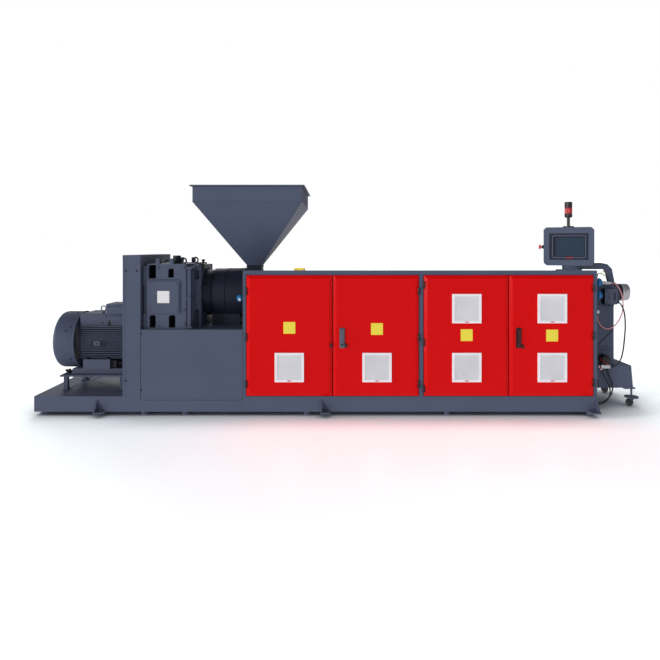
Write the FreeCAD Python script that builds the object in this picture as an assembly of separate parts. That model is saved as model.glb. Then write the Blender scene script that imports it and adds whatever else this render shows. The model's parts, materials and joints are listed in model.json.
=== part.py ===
import FreeCAD, Part
import math
import os

# Plastic pelletizing machine: motor, belt guard, gearbox, barrel with hopper, door cabinet and die cart.
# X runs from the motor to the die, Y away from the doors, Z up from the floor, in millimetres.
# Pieces are placed from the base's left end, and exported about the middle of the whole machine.

# Base frame
base_depth = 850.0
base_underside = 36.0
base_height = 132.0
rail_width = 110.0
rail_wall = 10.0
end_plate = 12.0
cross_count = 7
cross_wall = 12.0

# Levelling feet, placed as shares of the base's length
foot_shares = (0.0107, 0.1917, 0.2652, 0.4837, 0.735, 0.9906)
foot_inset = 55.0
foot_pad_radius = 25.0
foot_pad_height = 12.0
foot_stud_radius = 20.0

# Floor brackets, placed as shares of the base's length
bracket_shares = (0.11, 0.5092, 0.9833)
bracket_width = 80.0
bracket_reach = 78.0
bracket_plate = 12.0
bracket_fin = 14.0
bracket_height = 105.0
bracket_hole_radius = 11.0

# Motor bench, reaching past the motor's slide rails at both ends
bench_reach_left = 79.0
bench_depth = 536.0
bench_height = 143.0
bench_plate = 14.0
bench_leg = 35.0
bench_leg_inset_left = 3.0
bench_leg_inset_right = 76.0
bench_leg_spread = 372.0
bench_brace = 6.0
bench_brace_reach = 330.0
slide_rail_reach = 105.0
slide_rail_height = 45.0
slide_rail_width = 75.0
motor_foot_spread = 325.0

# Motor
cowl_left = 58.0
cowl_length = 197.0
cowl_radius = 254.0
cowl_edge = 36.0
motor_length = 480.0
motor_shaft_height = 235.0
motor_core_radius = 200.0
motor_fin_radius = 244.0
motor_fin_wall = 5.0
motor_fin_pitch = 17.5
motor_fin_count = 17
motor_end_length = 64.0
motor_end_radius = 226.0
motor_shoulder_height = 248.0
motor_shoulder_width = 330.0
motor_shoulder_inset = 20.0
motor_shoulder_edge = 18.0
motor_foot_offset = 70.0
motor_foot_length = 238.0
motor_foot_width = 120.0
motor_foot_height = 85.0
motor_shaft_radius = 40.0
terminal_offset = 275.0
terminal_length = 205.0
terminal_height = 94.0
terminal_front = 222.0
terminal_back = 11.0

# Belt guard
motor_to_guard = 18.0
guard_width = 152.0
guard_height = 1200.0
guard_wall = 5.0
shaft_play = 5.0
input_shaft_radius = 45.0

# Pedestal below the gearbox
pedestal_length = 869.0
pedestal_drop = 502.0
pedestal_wall = 8.0

# Gearbox
gear_gap = 42.0
gear_length = 337.0
gear_depth = 770.0
gear_height = 555.0
gear_edge = 8.0
gear_flange_gap = 8.0
gear_flange_height = 171.0
gear_flange_drop = 16.0
gear_flange_depth = 760.0
gear_low_flange_height = 135.0
pocket_depth = 150.0
pocket_edge = 14.0
pocket_top_gap = 6.0
pocket_upper_left = (12.0, 65.0, 117.0)
pocket_upper_right = (181.0, 48.0, 78.0)
pocket_upper_right_drop = 38.0
pocket_lower_left = (20.0, 54.0, 107.0)
pocket_lower_right = (186.0, 57.0, 107.0)
pocket_sill = 10.0
cover_thickness = 9.0
pad_thickness = 8.0
pad_width = 288.0
pad_height = 289.0
pad_rise = 130.0
cover_margin = 13.0
lug_places = (74.0, 191.0)
lug_width = 32.0
lug_depth = 40.0
lug_height = 46.0
bearing_length = 88.0
bearing_half_width = 230.0
bearing_drop = 12.0
bearing_pocket_inset = 16.0
bearing_pocket_width = 56.0
bearing_pocket_depth = 60.0
bearing_pocket_high = (46.0, 82.0)
bearing_pocket_low = (395.0, 150.0)
breather_inset = 133.0
breather_radius = 33.0
breather_height = 72.0
breather_side = 200.0
eye_inset = 72.0
eye_side = 208.0
eye_ring_radius = 24.0
eye_bar_radius = 7.0

# Extruder
axis_rise = 286.0
lantern_length = 326.0
lantern_radius = 224.0
lantern_steps = (16.0, 3.0, 0.0)
lantern_seam_shares = (0.27, 0.63)
saddle_width = 240.0
saddle_left_length = 24.0
saddle_right_length = 253.0
lantern_groove = 5.0
lantern_groove_width = 8.0
flange_length = 54.0
flange_radius = 226.0
barrel_radius = 85.0
throat_length = 132.0
throat_depth = 150.0
throat_drop = 141.0
throat_rise = 249.0
throat_bore = 110.0

# Hopper
hopper_width = 924.0
hopper_neck = 132.0
hopper_wall = 4.0
hopper_cone_height = 548.0
hopper_crown_height = 142.0
hopper_flange = 20.0
hopper_flange_height = 10.0

# Door cabinet
cabinet_height = 1069.0
bay_1_width = 1474.0
bay_2_width = 1450.0
post_left = 27.0
post_mid = 33.0
post_right = 30.0
post_depth = 30.0
cover_lap = 10.0
top_rail = 36.0
body_drop = 36.0
panel_wall = 3.0
panel_inset = 12.0
top_cover_wall = 4.0
board_depth = 240.0

# Doors, with hinge heights measured up from the doors' bottom edges
door_gap = 5.0
door_meeting_gap = 6.0
door_seat_front = 2.0
door_seat_back = 4.0
door_rise = 14.0
door_rim = 28.0
door_sheet = 3.0
door_floor_gap = 4.0
hinge_heights_1 = (889.0, 498.0, 98.0)
hinge_heights_2 = (889.0, 494.0, 98.0)
hinge_heights_3 = (941.0, 452.0, 57.0)
hinge_heights_4 = (916.0, 510.0, 111.0)
hinge_radius = 8.0
hinge_height = 56.0
hinge_pin_radius = 4.0
hinge_play = 0.05
hinge_notch = 3.0
hinge_leaf = 6.0

# Filter grilles, placed from their door's left and bottom edges
grille_size = 247.0
grille_proud = 10.0
grille_frame = 20.0
grille_spigot = 222.0
grille_spigot_length = 26.0
grille_play = 1.0
grille_low_rise = 245.0
grille_high_rise = 743.0
grille_offsets = (366.0, 373.0, 361.0, 362.0)

# Door handles, placed from their door's left and bottom edges
handle_width = 40.0
handle_length = 168.0
handle_base = 8.0
handle_rise = 410.0
handle_offset = 78.0
lever_width = 24.0
lever_length = 140.0
lever_thickness = 10.0
lever_gap = 5.0
lever_pin_radius = 3.0
lever_play = 0.05
lever_side_play = 1.0

# Operator panel, signal lamp and sensor
panel_width = 400.0
panel_height = 327.0
panel_depth = 90.0
panel_middle_inset = 225.0
panel_turn = 19.0
panel_pin_radius = 12.0
panel_pin_length = 20.0
panel_pin_play = 0.05
panel_swivel_gap = 1.0
panel_setback = 6.0
panel_chamfer = 22.0
screen_recess = 10.0
recess_width = 310.0
recess_height = 226.0
recess_rise = 49.0
bezel_width = 270.0
bezel_height = 190.0
neck_height = 41.0
neck_width = 82.0
neck_foot_width = 184.0
neck_depth = 70.0
neck_foot = 8.0
stop_rise = 160.0
stop_head_radius = 20.0
stop_head_length = 15.0
stop_stem_radius = 8.0
stop_collar_radius = 15.0
stop_collar_length = 14.0
stop_travel = 5.0
stop_gap = 11.0
lamp_base_radius = 44.0
lamp_base_height = 10.0
lamp_pole_radius = 12.5
lamp_pole_height = 74.0
lamp_radius = 31.0
lamp_foot_height = 32.0
lamp_lens_height = 51.0
lamp_cap_height = 51.0
sensor_offset = 435.0
sensor_length = 92.0
sensor_depth = 60.0
sensor_height = 20.0

# Die end
die_gap = 12.0
column_length = 274.0
column_width = 250.0
block_reach = 52.0
block_step = 10.0
block_rise = 95.0
block_drop = 102.0
block_corner = 36.0
bore_play = 1.0
duct_height = 56.0
duct_lap = 140.0
duct_depth = 44.0
duct_bend = 52.0
duct_limb = 50.0
duct_lean = 60.0
duct_foot_reach = 27.0
barrel_reach = 150.0
adapter_radius = 60.0
adapter_flange_length = 34.0
collar_gap = 14.0
collar_length = 45.0
collar_radius = 76.0
die_length = 65.0
die_radius = 77.0
die_bore = 25.0
die_bolt_circle = 118.0
die_bolt_radius = 5.0
die_bolt_depth = 30.0
die_bolt_count = 6
junction_overhang = 2.0
junction_width = 112.0
junction_drop = 97.0
junction_height = 140.0
junction_depth = 64.0

# Pump and cord fittings at the die end, along X from the base's right end; the upper ones from the axis
pump_inset = 102.0
pump_radius = 40.0
pump_rise = 61.0
pump_length = 72.0
gland_radius = 12.0
gland_length = 16.0
manifold_top = (197.0, 237.0, 82.0, 104.0)
manifold_column = (116.0, 140.0, -181.0, -153.0)
manifold_cart = (148.0, 230.0, 352.0, 380.0)
manifold_depth = 34.0

# Cords, along X from the base's right end; the hose and the side cable are measured from the axis
cord_arc_share = 0.45
hose_radius = 5.0
hose_route = (
    (237, -141, 93), (273, -141, 93), (305, -147, 74), (328, -157, 32), (343, -167, -28),
    (349, -171, -96), (341, -171, -171), (315, -169, -238), (274, -165, -293),
    (224, -160, -321), (174, -154, -309), (137, -148, -267), (128, -142, -219),
    (128, -142, -181),
)
side_cable_radius = 6.0
side_cable_route = (
    (310, -141, -81), (310, -175, -81), (314, -206, -98), (320, -230, -131), (327, -238, -178),
    (336, -231, -238), (346, -212, -310), (352, -186, -400), (352, -168, -492),
    (340, -162, -570), (318, -162, -617), (287, -162, -646), (256, -162, -659),
    (230, -162, -659),
)
low_cable_radius = 6.0
low_cable_route_1 = (
    (214, -162, 352), (214, -162, 312), (242, -163, 254), (258, -165, 190), (250, -167, 128),
    (216, -168, 78), (160, -168, 44), (96, -166, 34), (44, -165, 54), (16, -165, 54),
)
low_cable_route_2 = (
    (164, -170, 352), (164, -170, 318), (184, -184, 262), (212, -194, 206), (220, -202, 142),
    (200, -206, 86), (156, -206, 46), (104, -203, 36), (48, -200, 54), (16, -200, 54),
)

# Cart below the die, with its casters placed from its ends and sides
cart_gap = 42.0
cart_length = 408.0
cart_front = -145.0
cart_back_inset = 20.0
cart_height = 201.0
cart_taper = 17.0
caster_reach = 3.0
caster_inset = 26.0
caster_side_inset = 37.0
caster_height = 96.0
caster_plate = 11.0
caster_plate_width = 76.0
caster_stem_radius = 9.0
caster_disc_radius = 61.0
caster_disc_height = 10.0
caster_pin_radius = 8.0
caster_pin_length = 14.0
caster_play = 0.05
caster_swivel_gap = 1.0
caster_trail = 18.0
fork_wall = 4.0
fork_play = 6.2
fork_side_play = 3.0
fork_length = 44.0
wheel_radius = 32.0
wheel_width = 20.0
wheel_lift = 0.4
axle_radius = 5.0

# Values worked out from the sizes above
half_depth = base_depth / 2
front = -half_depth
base_top = base_underside + base_height

motor_left = cowl_left + cowl_length
motor_right = motor_left + motor_length
motor_foot_left = motor_left + motor_foot_offset
slide_rail_left = motor_foot_left - slide_rail_reach
slide_rail_length = motor_foot_length + 2 * slide_rail_reach
bench_left = slide_rail_left - bench_reach_left
bench_top = base_top + bench_height
bench_underside = bench_top - bench_plate
rail_seat = bench_top + slide_rail_height
motor_axis_z = rail_seat + motor_shaft_height
motor_shoulder_top = motor_axis_z + motor_shoulder_height
terminal_bottom = motor_shoulder_top
terminal_top = terminal_bottom + terminal_height
terminal_left = motor_left + terminal_offset

guard_left = motor_right + motor_to_guard
bench_right = guard_left
guard_right = guard_left + guard_width
guard_top = base_top + guard_height
pedestal_right = guard_right + pedestal_length
pedestal_top = base_top + cabinet_height - pedestal_drop
gear_left = guard_right + gear_gap
gear_right = gear_left + gear_length
gear_top = pedestal_top + gear_height
gear_half = gear_depth / 2
gear_flange_left = guard_right + gear_flange_gap
gear_flange_top = gear_top - gear_flange_drop
gear_flange_bottom = gear_flange_top - gear_flange_height
gear_low_flange_top = pedestal_top + gear_low_flange_height
bearing_right = gear_right + bearing_length
bearing_top = gear_top - bearing_drop
axis_z = pedestal_top + axis_rise

lantern_left = bearing_right
lantern_right = lantern_left + lantern_length
flange_right = lantern_right + flange_length
throat_right = flange_right + throat_length
throat_bottom = axis_z - throat_drop
throat_top = axis_z + throat_rise
hopper_x = (flange_right + throat_right) / 2
hopper_cone_bottom = throat_top
hopper_cone_top = hopper_cone_bottom + hopper_cone_height
hopper_top = hopper_cone_top + hopper_crown_height

cabinet_left = pedestal_right
bay_1 = (cabinet_left + post_left, cabinet_left + post_left + bay_1_width)
bay_2 = (bay_1[1] + post_mid, bay_1[1] + post_mid + bay_2_width)
cabinet_right = bay_2[1] + post_right
cabinet_top = base_top + cabinet_height
base_length = cabinet_right
rail_underside = cabinet_top - top_rail
body_top = cabinet_top - body_drop
body_underside = body_top - top_rail

door_bottom = base_top + door_floor_gap
door_top = rail_underside - door_floor_gap
door_back = front + door_seat_back
door_edge = front - door_seat_front
door_face = door_edge - door_rise
hinge_y = front - door_seat_front - hinge_radius
handle_bottom = door_bottom + handle_rise
handle_top = handle_bottom + handle_length

panel_middle = cabinet_right - panel_middle_inset
panel_left = panel_middle - panel_width / 2
panel_bottom = cabinet_top + neck_height
panel_top = panel_bottom + panel_height
panel_front = front + panel_setback
panel_back = panel_front + panel_depth
recess_bottom = panel_bottom + recess_rise
stop_y = (panel_front + panel_back) / 2
stop_z = panel_bottom + stop_rise
lamp_pole_top = panel_top + lamp_base_height + lamp_pole_height
sensor_left = cabinet_left + sensor_offset

column_left = base_length + die_gap
column_right = column_left + column_length
block_right = column_right + block_reach
block_top = axis_z + block_rise
block_bottom = axis_z - block_drop
duct_underside = cabinet_top
duct_top = cabinet_top + duct_height
barrel_right = column_left + barrel_reach
collar_left = block_right + collar_gap
die_left = collar_left + collar_length
die_right = die_left + die_length
junction_left = column_right + junction_overhang - junction_width
junction_bottom = axis_z - junction_drop

wheel_axis_z = wheel_radius + wheel_lift
fork_width = wheel_width + 2 * (fork_side_play + fork_wall)
fork_top = wheel_axis_z + wheel_radius + fork_play + fork_wall
cart_bottom = fork_top + caster_height
cart_top = cart_bottom + cart_height
cart_left = base_length + cart_gap
cart_right = cart_left + cart_length
cart_back = half_depth - cart_back_inset
caster_right_x = cart_right + caster_reach
caster_left_x = cart_left + caster_inset
caster_front_y = cart_front + caster_side_inset
caster_back_y = cart_back - caster_side_inset
overall_length = caster_right_x + caster_disc_radius


def box(x0, x1, y0, y1, z0, z1):
    """A box between two corners."""
    return Part.makeBox(x1 - x0, y1 - y0, z1 - z0, FreeCAD.Vector(x0, y0, z0))


def rod(x, y, z, radius, length, way):
    """A cylinder from a point along one of the axes."""
    ways = {
        "x": FreeCAD.Vector(1, 0, 0),
        "y": FreeCAD.Vector(0, 1, 0),
        "z": FreeCAD.Vector(0, 0, 1),
    }
    return Part.makeCylinder(radius, length, FreeCAD.Vector(x, y, z), ways[way])


def fuse(shapes):
    """One solid from pieces that touch or overlap."""
    whole = shapes[0]
    for shape in shapes[1:]:
        whole = whole.fuse(shape)
    return whole.removeSplitter()


def cut(shape, tools):
    """A shape with the tools taken out of it."""
    for tool in tools:
        shape = shape.cut(tool)
    return shape


def rectangle(x0, x1, y0, y1, z):
    """A closed rectangle lying flat at one height."""
    corners = [(x0, y0), (x1, y0), (x1, y1), (x0, y1), (x0, y0)]
    return Part.makePolygon([FreeCAD.Vector(x, y, z) for x, y in corners])


def side_plate(outline, y0, y1):
    """A plate whose outline is drawn in X and Z, carried along Y."""
    points = [FreeCAD.Vector(x, y0, z) for x, z in outline]
    face = Part.Face(Part.makePolygon(points + points[:1]))
    return face.extrude(FreeCAD.Vector(0, y1 - y0, 0))


def end_shape(outline, x0, x1):
    """A plate whose outline is drawn in Y and Z, carried along X."""
    points = [FreeCAD.Vector(x0, y, z) for y, z in outline]
    face = Part.Face(Part.makePolygon(points + points[:1]))
    return face.extrude(FreeCAD.Vector(x1 - x0, 0, 0))


def turned(profile, centre_z):
    """A turned piece about an axis along X, from stations of place and radius."""
    start = profile[0][0]
    end = profile[-1][0]
    points = [FreeCAD.Vector(start, 0, centre_z)]
    points += [FreeCAD.Vector(x, 0, centre_z + radius) for x, radius in profile]
    points += [FreeCAD.Vector(end, 0, centre_z)]
    face = Part.Face(Part.makePolygon(points + points[:1]))
    return face.revolve(FreeCAD.Vector(start, 0, centre_z), FreeCAD.Vector(1, 0, 0), 360)


def edges_along(shape, way, test):
    """The straight edges of a shape along one axis that pass a test."""
    found = []
    for edge in shape.Edges:
        if len(edge.Vertexes) < 2:
            continue
        step = edge.Vertexes[1].Point - edge.Vertexes[0].Point
        if step.Length > 0 and abs(step.dot(way)) / step.Length > 0.999 and test(edge.CenterOfMass):
            found.append(edge)
    return found


# Base

def base_rails():
    rails = []
    for side in (-1, 1):
        outer = sorted((side * half_depth, side * (half_depth - rail_width)))
        hollow = sorted((side * (half_depth - rail_wall), side * (half_depth - rail_width) - side))
        length = (end_plate, base_length - end_plate)
        rail = box(*length, *outer, base_underside, base_top)
        hollow_low = base_underside + rail_wall
        hollow_high = base_top - rail_wall
        rails.append(rail.cut(box(*length, *hollow, hollow_low, hollow_high)))
    return rails


def base_floor():
    inside = half_depth - rail_wall
    low = base_underside + rail_wall
    high = base_top - rail_wall
    plates = []
    step = (base_length - 2 * end_plate - cross_wall) / (cross_count - 1)
    for index in range(cross_count):
        left = end_plate + index * step
        plates.append(box(left, left + cross_wall, -inside, inside, low, high))
    deck_side = half_depth - rail_width
    plates.append(box(end_plate, base_length - end_plate, -deck_side, deck_side, high, base_top))
    for left in (0, base_length - end_plate):
        plates.append(box(left, left + end_plate, -half_depth, half_depth, base_underside, base_top))
    return plates


def levelling_feet():
    feet = []
    for share in foot_shares:
        x = share * base_length
        for side in (-1, 1):
            y = side * (half_depth - foot_inset)
            pad = rod(x, y, 0, foot_pad_radius, foot_pad_height, "z")
            stud = rod(x, y, foot_pad_height, foot_stud_radius, base_underside - foot_pad_height, "z")
            feet.append(fuse([pad, stud]))
    return feet


def anchor_brackets():
    brackets = []
    near = front - bracket_reach
    top = base_underside + bracket_plate
    for share in bracket_shares:
        left = share * base_length
        right = left + bracket_width
        last = share == bracket_shares[-1]
        fin_left = right - bracket_fin if last else left
        outline = [(front, top), (near + bracket_fin, top), (front, base_underside + bracket_height)]
        fin = end_shape(outline, fin_left, fin_left + bracket_fin)
        hole_x = (left + right - bracket_fin) / 2 if last else (left + right + bracket_fin) / 2
        hole_y = front - bracket_reach / 2
        hole = rod(hole_x, hole_y, base_underside - 1, bracket_hole_radius, bracket_plate + 2, "z")
        foot = box(left, right, near, front, base_underside, top).cut(hole)
        for piece in (foot, fin):
            brackets.append(piece)
            brackets.append(piece.mirror(FreeCAD.Vector(0, 0, 0), FreeCAD.Vector(0, 1, 0)))
    return brackets


# Motor and its bench

def motor_bench():
    """The bench's plate, legs and brace, and the two slide rails on it."""
    half = bench_depth / 2
    pieces = [box(bench_left, bench_right, -half, half, bench_underside, bench_top)]
    left_leg = bench_left + bench_leg_inset_left
    right_leg = bench_right - bench_leg_inset_right - bench_leg
    for side in (-1, 1):
        y = side * bench_leg_spread / 2
        half = bench_leg / 2
        for x in (left_leg, right_leg):
            pieces.append(box(x, x + bench_leg, y - half, y + half, base_top, bench_underside))
        low = left_leg + bench_leg
        high = low + bench_brace_reach
        outline = [
            (low, base_top),
            (low, base_top + 2 * bench_brace),
            (high, bench_underside),
            (high + 3 * bench_brace, bench_underside),
        ]
        pieces.append(side_plate(outline, y - bench_brace / 2, y + bench_brace / 2))
        y = side * motor_foot_spread / 2
        half = slide_rail_width / 2
        right = slide_rail_left + slide_rail_length
        pieces.append(box(slide_rail_left, right, y - half, y + half, bench_top, rail_seat))
    return pieces


def motor_shoulder():
    """The block above the motor's fins, with rounded upper edges."""
    half = motor_shoulder_width / 2
    left = motor_left + motor_shoulder_inset
    shoulder = box(left, motor_right, -half, half, motor_axis_z, motor_shoulder_top)
    upper = edges_along(shoulder, FreeCAD.Vector(1, 0, 0), lambda point: point.z > motor_shoulder_top - 1)
    return shoulder.makeFillet(motor_shoulder_edge, upper)


def motor_body():
    pieces = [rod(motor_left, 0, motor_axis_z, motor_core_radius, motor_length, "x")]
    stages = (
        (motor_left, motor_left + motor_end_length, motor_end_radius),
        (motor_left + motor_end_length, motor_right, motor_fin_radius),
    )
    for index in range(motor_fin_count):
        height = (index - (motor_fin_count - 1) / 2) * motor_fin_pitch
        z = motor_axis_z + height
        half = motor_fin_wall / 2
        for left, right, radius in stages:
            reach = math.sqrt(radius ** 2 - height ** 2)
            pieces.append(box(left, right, -reach, reach, z - half, z + half))
    pieces.append(motor_shoulder())
    for side in (-1, 1):
        y = side * motor_foot_spread / 2
        half = motor_foot_width / 2
        right = motor_foot_left + motor_foot_length
        foot_top = rail_seat + motor_foot_height
        pieces.append(box(motor_foot_left, right, y - half, y + half, rail_seat, foot_top))
    return [fuse(pieces)]


def motor_fan_cowl():
    whole = rod(cowl_left, 0, motor_axis_z, cowl_radius, cowl_length, "x")
    rim = [edge for edge in whole.Edges if abs(edge.CenterOfMass.x - cowl_left) < 1]
    return [whole.makeFillet(cowl_edge, rim)]


def motor_terminal_box():
    right = terminal_left + terminal_length
    return [box(terminal_left, right, -terminal_front, -terminal_back, terminal_bottom, terminal_top)]


def motor_shaft():
    reach = guard_right - guard_wall - motor_right
    return [rod(motor_right, 0, motor_axis_z, motor_shaft_radius, reach, "x")]


# Guard, pedestal and gearbox

def plates_around(left, right, low, high, wall):
    """Five sheets that box in a housing over the base's full depth, open below."""
    inside = half_depth - wall
    return [
        box(left, right, -half_depth, -inside, low, high - wall),
        box(left, right, inside, half_depth, low, high - wall),
        box(left, right, -half_depth, half_depth, high - wall, high),
        box(left, left + wall, -inside, inside, low, high - wall),
        box(right - wall, right, -inside, inside, low, high - wall),
    ]


def belt_guard():
    plates = plates_around(guard_left, guard_right, base_top, guard_top, guard_wall)
    length = guard_wall + 2
    motor_hole = rod(guard_left - 1, 0, motor_axis_z, motor_shaft_radius + shaft_play, length, "x")
    gear_hole = rod(guard_right - length + 1, 0, axis_z, input_shaft_radius + shaft_play, length, "x")
    return [cut(plate, [motor_hole, gear_hole]) for plate in plates]


def pedestal():
    return plates_around(guard_right, pedestal_right, base_top, pedestal_top, pedestal_wall)


def pocket(left, width, sill, head, depth, face):
    """A round-headed pocket cut into both long faces of a housing."""
    tools = []
    for side in (-1, 1):
        y0, y1 = sorted((side * (face + 1), side * (face - depth)))
        tool = box(left, left + width, y0, y1, sill, head)
        upper = edges_along(tool, FreeCAD.Vector(0, 1, 0), lambda point: point.z > head - 1)
        tools.append(tool.makeFillet(pocket_edge, upper))
    return tools


def gearbox_housing():
    body = box(gear_left, gear_right, -gear_half, gear_half, pedestal_top, gear_top)
    upright = edges_along(body, FreeCAD.Vector(0, 0, 1), lambda point: True)
    body = body.makeFillet(gear_edge, upright)
    tools = []
    for place, width, height in (pocket_lower_left, pocket_lower_right):
        sill = pedestal_top + pocket_sill
        tools += pocket(gear_left + place, width, sill, sill + height, pocket_depth, gear_half)
    uppers = ((pocket_upper_left, pocket_top_gap), (pocket_upper_right, pocket_upper_right_drop))
    for (place, width, height), drop in uppers:
        head = gear_top - drop
        tools += pocket(gear_left + place, width, head - height, head, pocket_depth, gear_half)
    pieces = [cut(body, tools)]
    half = gear_flange_depth / 2
    middle = half - gear_flange_drop
    spans = (
        (half, gear_flange_bottom, gear_flange_top),
        (middle, gear_low_flange_top, gear_flange_bottom),
        (half, pedestal_top, gear_low_flange_top),
    )
    for half, low, high in spans:
        pieces.append(box(gear_flange_left, gear_left, -half, half, low, high))
    half = bearing_half_width
    bearing = box(gear_right, bearing_right, -half, half, pedestal_top, bearing_top)
    tools = []
    for drop, height in (bearing_pocket_high, bearing_pocket_low):
        head = bearing_top - drop
        tools += pocket(gear_right + bearing_pocket_inset, bearing_pocket_width, head - height, head,
                        bearing_pocket_depth, bearing_half_width)
    pieces.append(cut(bearing, tools))
    reach = gear_left - guard_right + guard_wall
    pieces.append(rod(gear_left - reach, 0, axis_z, input_shaft_radius, reach, "x"))
    for place in lug_places:
        for side in (-1, 1):
            y0, y1 = sorted((side * gear_half, side * (gear_half - lug_depth)))
            left = gear_left + place
            pieces.append(box(left, left + lug_width, y0, y1, gear_top, gear_top + lug_height))
    return [fuse(pieces)]


def gearbox_covers():
    """A square pad and a smaller cover on it, on both long faces."""
    covers = []
    across = FreeCAD.Vector(0, 1, 0)
    low = pedestal_top + pad_rise
    for side in (-1, 1):
        stages = (
            (0, gear_half, gear_half + pad_thickness),
            (cover_margin, gear_half + pad_thickness, gear_half + pad_thickness + cover_thickness),
        )
        for margin, near, far in stages:
            y0, y1 = sorted((side * near, side * far))
            left = gear_left + margin
            right = gear_left + pad_width - margin
            plate = box(left, right, y0, y1, low + margin, low + pad_height - margin)
            corners = edges_along(plate, across, lambda point: True)
            covers.append(plate.makeFillet(gear_edge, corners))
    return covers


def gearbox_fittings():
    """The oil pump and two lifting eyes on the gearbox."""
    breather_x = gear_right - breather_inset
    fittings = [rod(breather_x, -breather_side, gear_top, breather_radius, breather_height, "z")]
    x = gear_right - eye_inset
    for side in (-1, 1):
        y = side * eye_side
        centre = FreeCAD.Vector(x, y, gear_top + eye_ring_radius)
        ring = Part.makeTorus(eye_ring_radius, eye_bar_radius, centre, FreeCAD.Vector(0, 1, 0))
        stub = rod(x, y, gear_top, 2 * eye_bar_radius, eye_bar_radius, "z")
        reach = 2 * eye_ring_radius
        below = box(x - reach, x + reach, y - reach, y + reach, gear_top - reach, gear_top)
        fittings.append(fuse([ring.cut(below), stub]))
    return fittings


# Extruder

def lantern_housing():
    """Three stepped rings and an end flange, and the two saddles that carry them."""
    stations = []
    seams = [lantern_left + share * lantern_length for share in lantern_seam_shares]
    starts = [lantern_left] + seams
    ends = seams + [lantern_right]
    half = lantern_groove_width / 2
    for start, end, step in zip(starts, ends, lantern_steps):
        radius = lantern_radius - step
        near = start if start == lantern_left else start + half
        far = end if end == lantern_right else end - half
        stations += [(near, radius), (far, radius)]
        if end != lantern_right:
            stations += [(far, radius - lantern_groove), (end + half, radius - lantern_groove)]
    stations += [(lantern_right, flange_radius), (flange_right, flange_radius)]
    housing = turned(stations, axis_z)
    pieces = [housing]
    half = saddle_width / 2
    spans = (
        (lantern_left, lantern_left + saddle_left_length),
        (lantern_right - saddle_right_length, lantern_right),
    )
    for left, right in spans:
        pieces.append(box(left, right, -half, half, pedestal_top, axis_z).cut(housing))
    return [fuse(pieces)]


def feed_throat():
    half = throat_depth / 2
    block = box(flange_right, throat_right, -half, half, throat_bottom, throat_top)
    mouth = throat_bore / 2
    shaft = box(hopper_x - mouth, hopper_x + mouth, -mouth, mouth, axis_z, throat_top + 1)
    return [block.cut(shaft)]


def barrel():
    return [rod(throat_right, 0, axis_z, barrel_radius, barrel_right - throat_right, "x")]


def quarter(side, outer, inner, low, high):
    """One mitred wall of a square shell; outer and inner give its half widths below and above."""
    corners = []
    for half_low, half_high in (outer, inner):
        wires = []
        for half, z in ((half_low, low), (half_high, high)):
            wires.append(rectangle(hopper_x - half, hopper_x + half, -half, half, z))
        corners.append(Part.makeLoft(wires, True, True))
    reach = 2 * max(outer)
    points = [(0, 0), (reach, -reach), (reach, reach), (0, 0)]
    wedge = Part.Face(Part.makePolygon([FreeCAD.Vector(hopper_x + x, y, low) for x, y in points]))
    wedge = wedge.extrude(FreeCAD.Vector(0, 0, high - low))
    wedge.rotate(FreeCAD.Vector(hopper_x, 0, 0), FreeCAD.Vector(0, 0, 1), side * 90)
    return corners[0].cut(corners[1]).common(wedge).Solids[0]


def hopper_shell():
    """Four mitred plates each for the cone, the crown and the loading rim."""
    low = hopper_neck / 2
    high = hopper_width / 2
    rim = high + hopper_flange
    wall = hopper_wall
    rim_low = hopper_top - hopper_flange_height
    stages = (
        ((low, high), (low - wall, high - wall), hopper_cone_bottom, hopper_cone_top),
        ((high, high), (high - wall, high - wall), hopper_cone_top, hopper_top),
        ((rim, rim), (high, high), rim_low, hopper_top),
    )
    return [quarter(side, *stage) for stage in stages for side in range(4)]


# Cabinet

def cabinet_frame():
    columns = (
        (cabinet_left, bay_1[0]),
        (bay_1[1], bay_2[0]),
        (bay_2[1], cabinet_right),
    )
    inside = half_depth - post_depth
    pieces = [box(cabinet_left, cabinet_right, front, -inside, rail_underside, cabinet_top)]
    pieces.append(box(cabinet_left, cabinet_right, inside, half_depth, body_underside, body_top))
    half = throat_depth / 2
    for left, right in columns:
        pieces.append(box(left, right, front, -inside, base_top, rail_underside))
        pieces.append(box(left, right, inside, half_depth, base_top, body_underside))
        if left == cabinet_left:
            pieces.append(box(left, right, -inside, -half, body_underside, body_top))
            pieces.append(box(left, right, half, inside, body_underside, body_top))
        else:
            pieces.append(box(left, right, -inside, inside, body_underside, body_top))
    return pieces


def cabinet_panels():
    """Rear, top and end sheets; those beside the feed throat and the barrel are in several pieces."""
    inside = half_depth - post_depth
    half = throat_depth / 2
    back = half_depth - panel_inset
    near = -inside - cover_lap
    cover_low = body_top - top_cover_wall
    panels = []
    for left, right in (bay_1, bay_2):
        panels.append(box(left, right, back - panel_wall, back, base_top, body_underside))
    panels.append(box(bay_1[0], throat_right, near, -half, cover_low, body_top))
    panels.append(box(bay_1[0], throat_right, half, inside, cover_low, body_top))
    panels.append(box(throat_right, bay_1[1], near, inside, cover_low, body_top))
    panels.append(box(bay_2[0], bay_2[1], near, inside, cover_low, body_top))
    left = cabinet_left + panel_inset
    panels.append(box(left, left + panel_wall, -inside, inside, base_top, throat_bottom))
    panels.append(box(left, left + panel_wall, -inside, -half, throat_bottom, body_underside))
    panels.append(box(left, left + panel_wall, half, inside, throat_bottom, body_underside))
    right = cabinet_right - panel_inset
    hole = barrel_radius + bore_play
    panels.append(box(right - panel_wall, right, -inside, inside, base_top, axis_z - hole))
    panels.append(box(right - panel_wall, right, -inside, -hole, axis_z - hole, body_underside))
    panels.append(box(right - panel_wall, right, hole, inside, axis_z - hole, body_underside))
    panels.append(box(right - panel_wall, right, -hole, hole, axis_z + hole, body_underside))
    return panels


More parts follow.
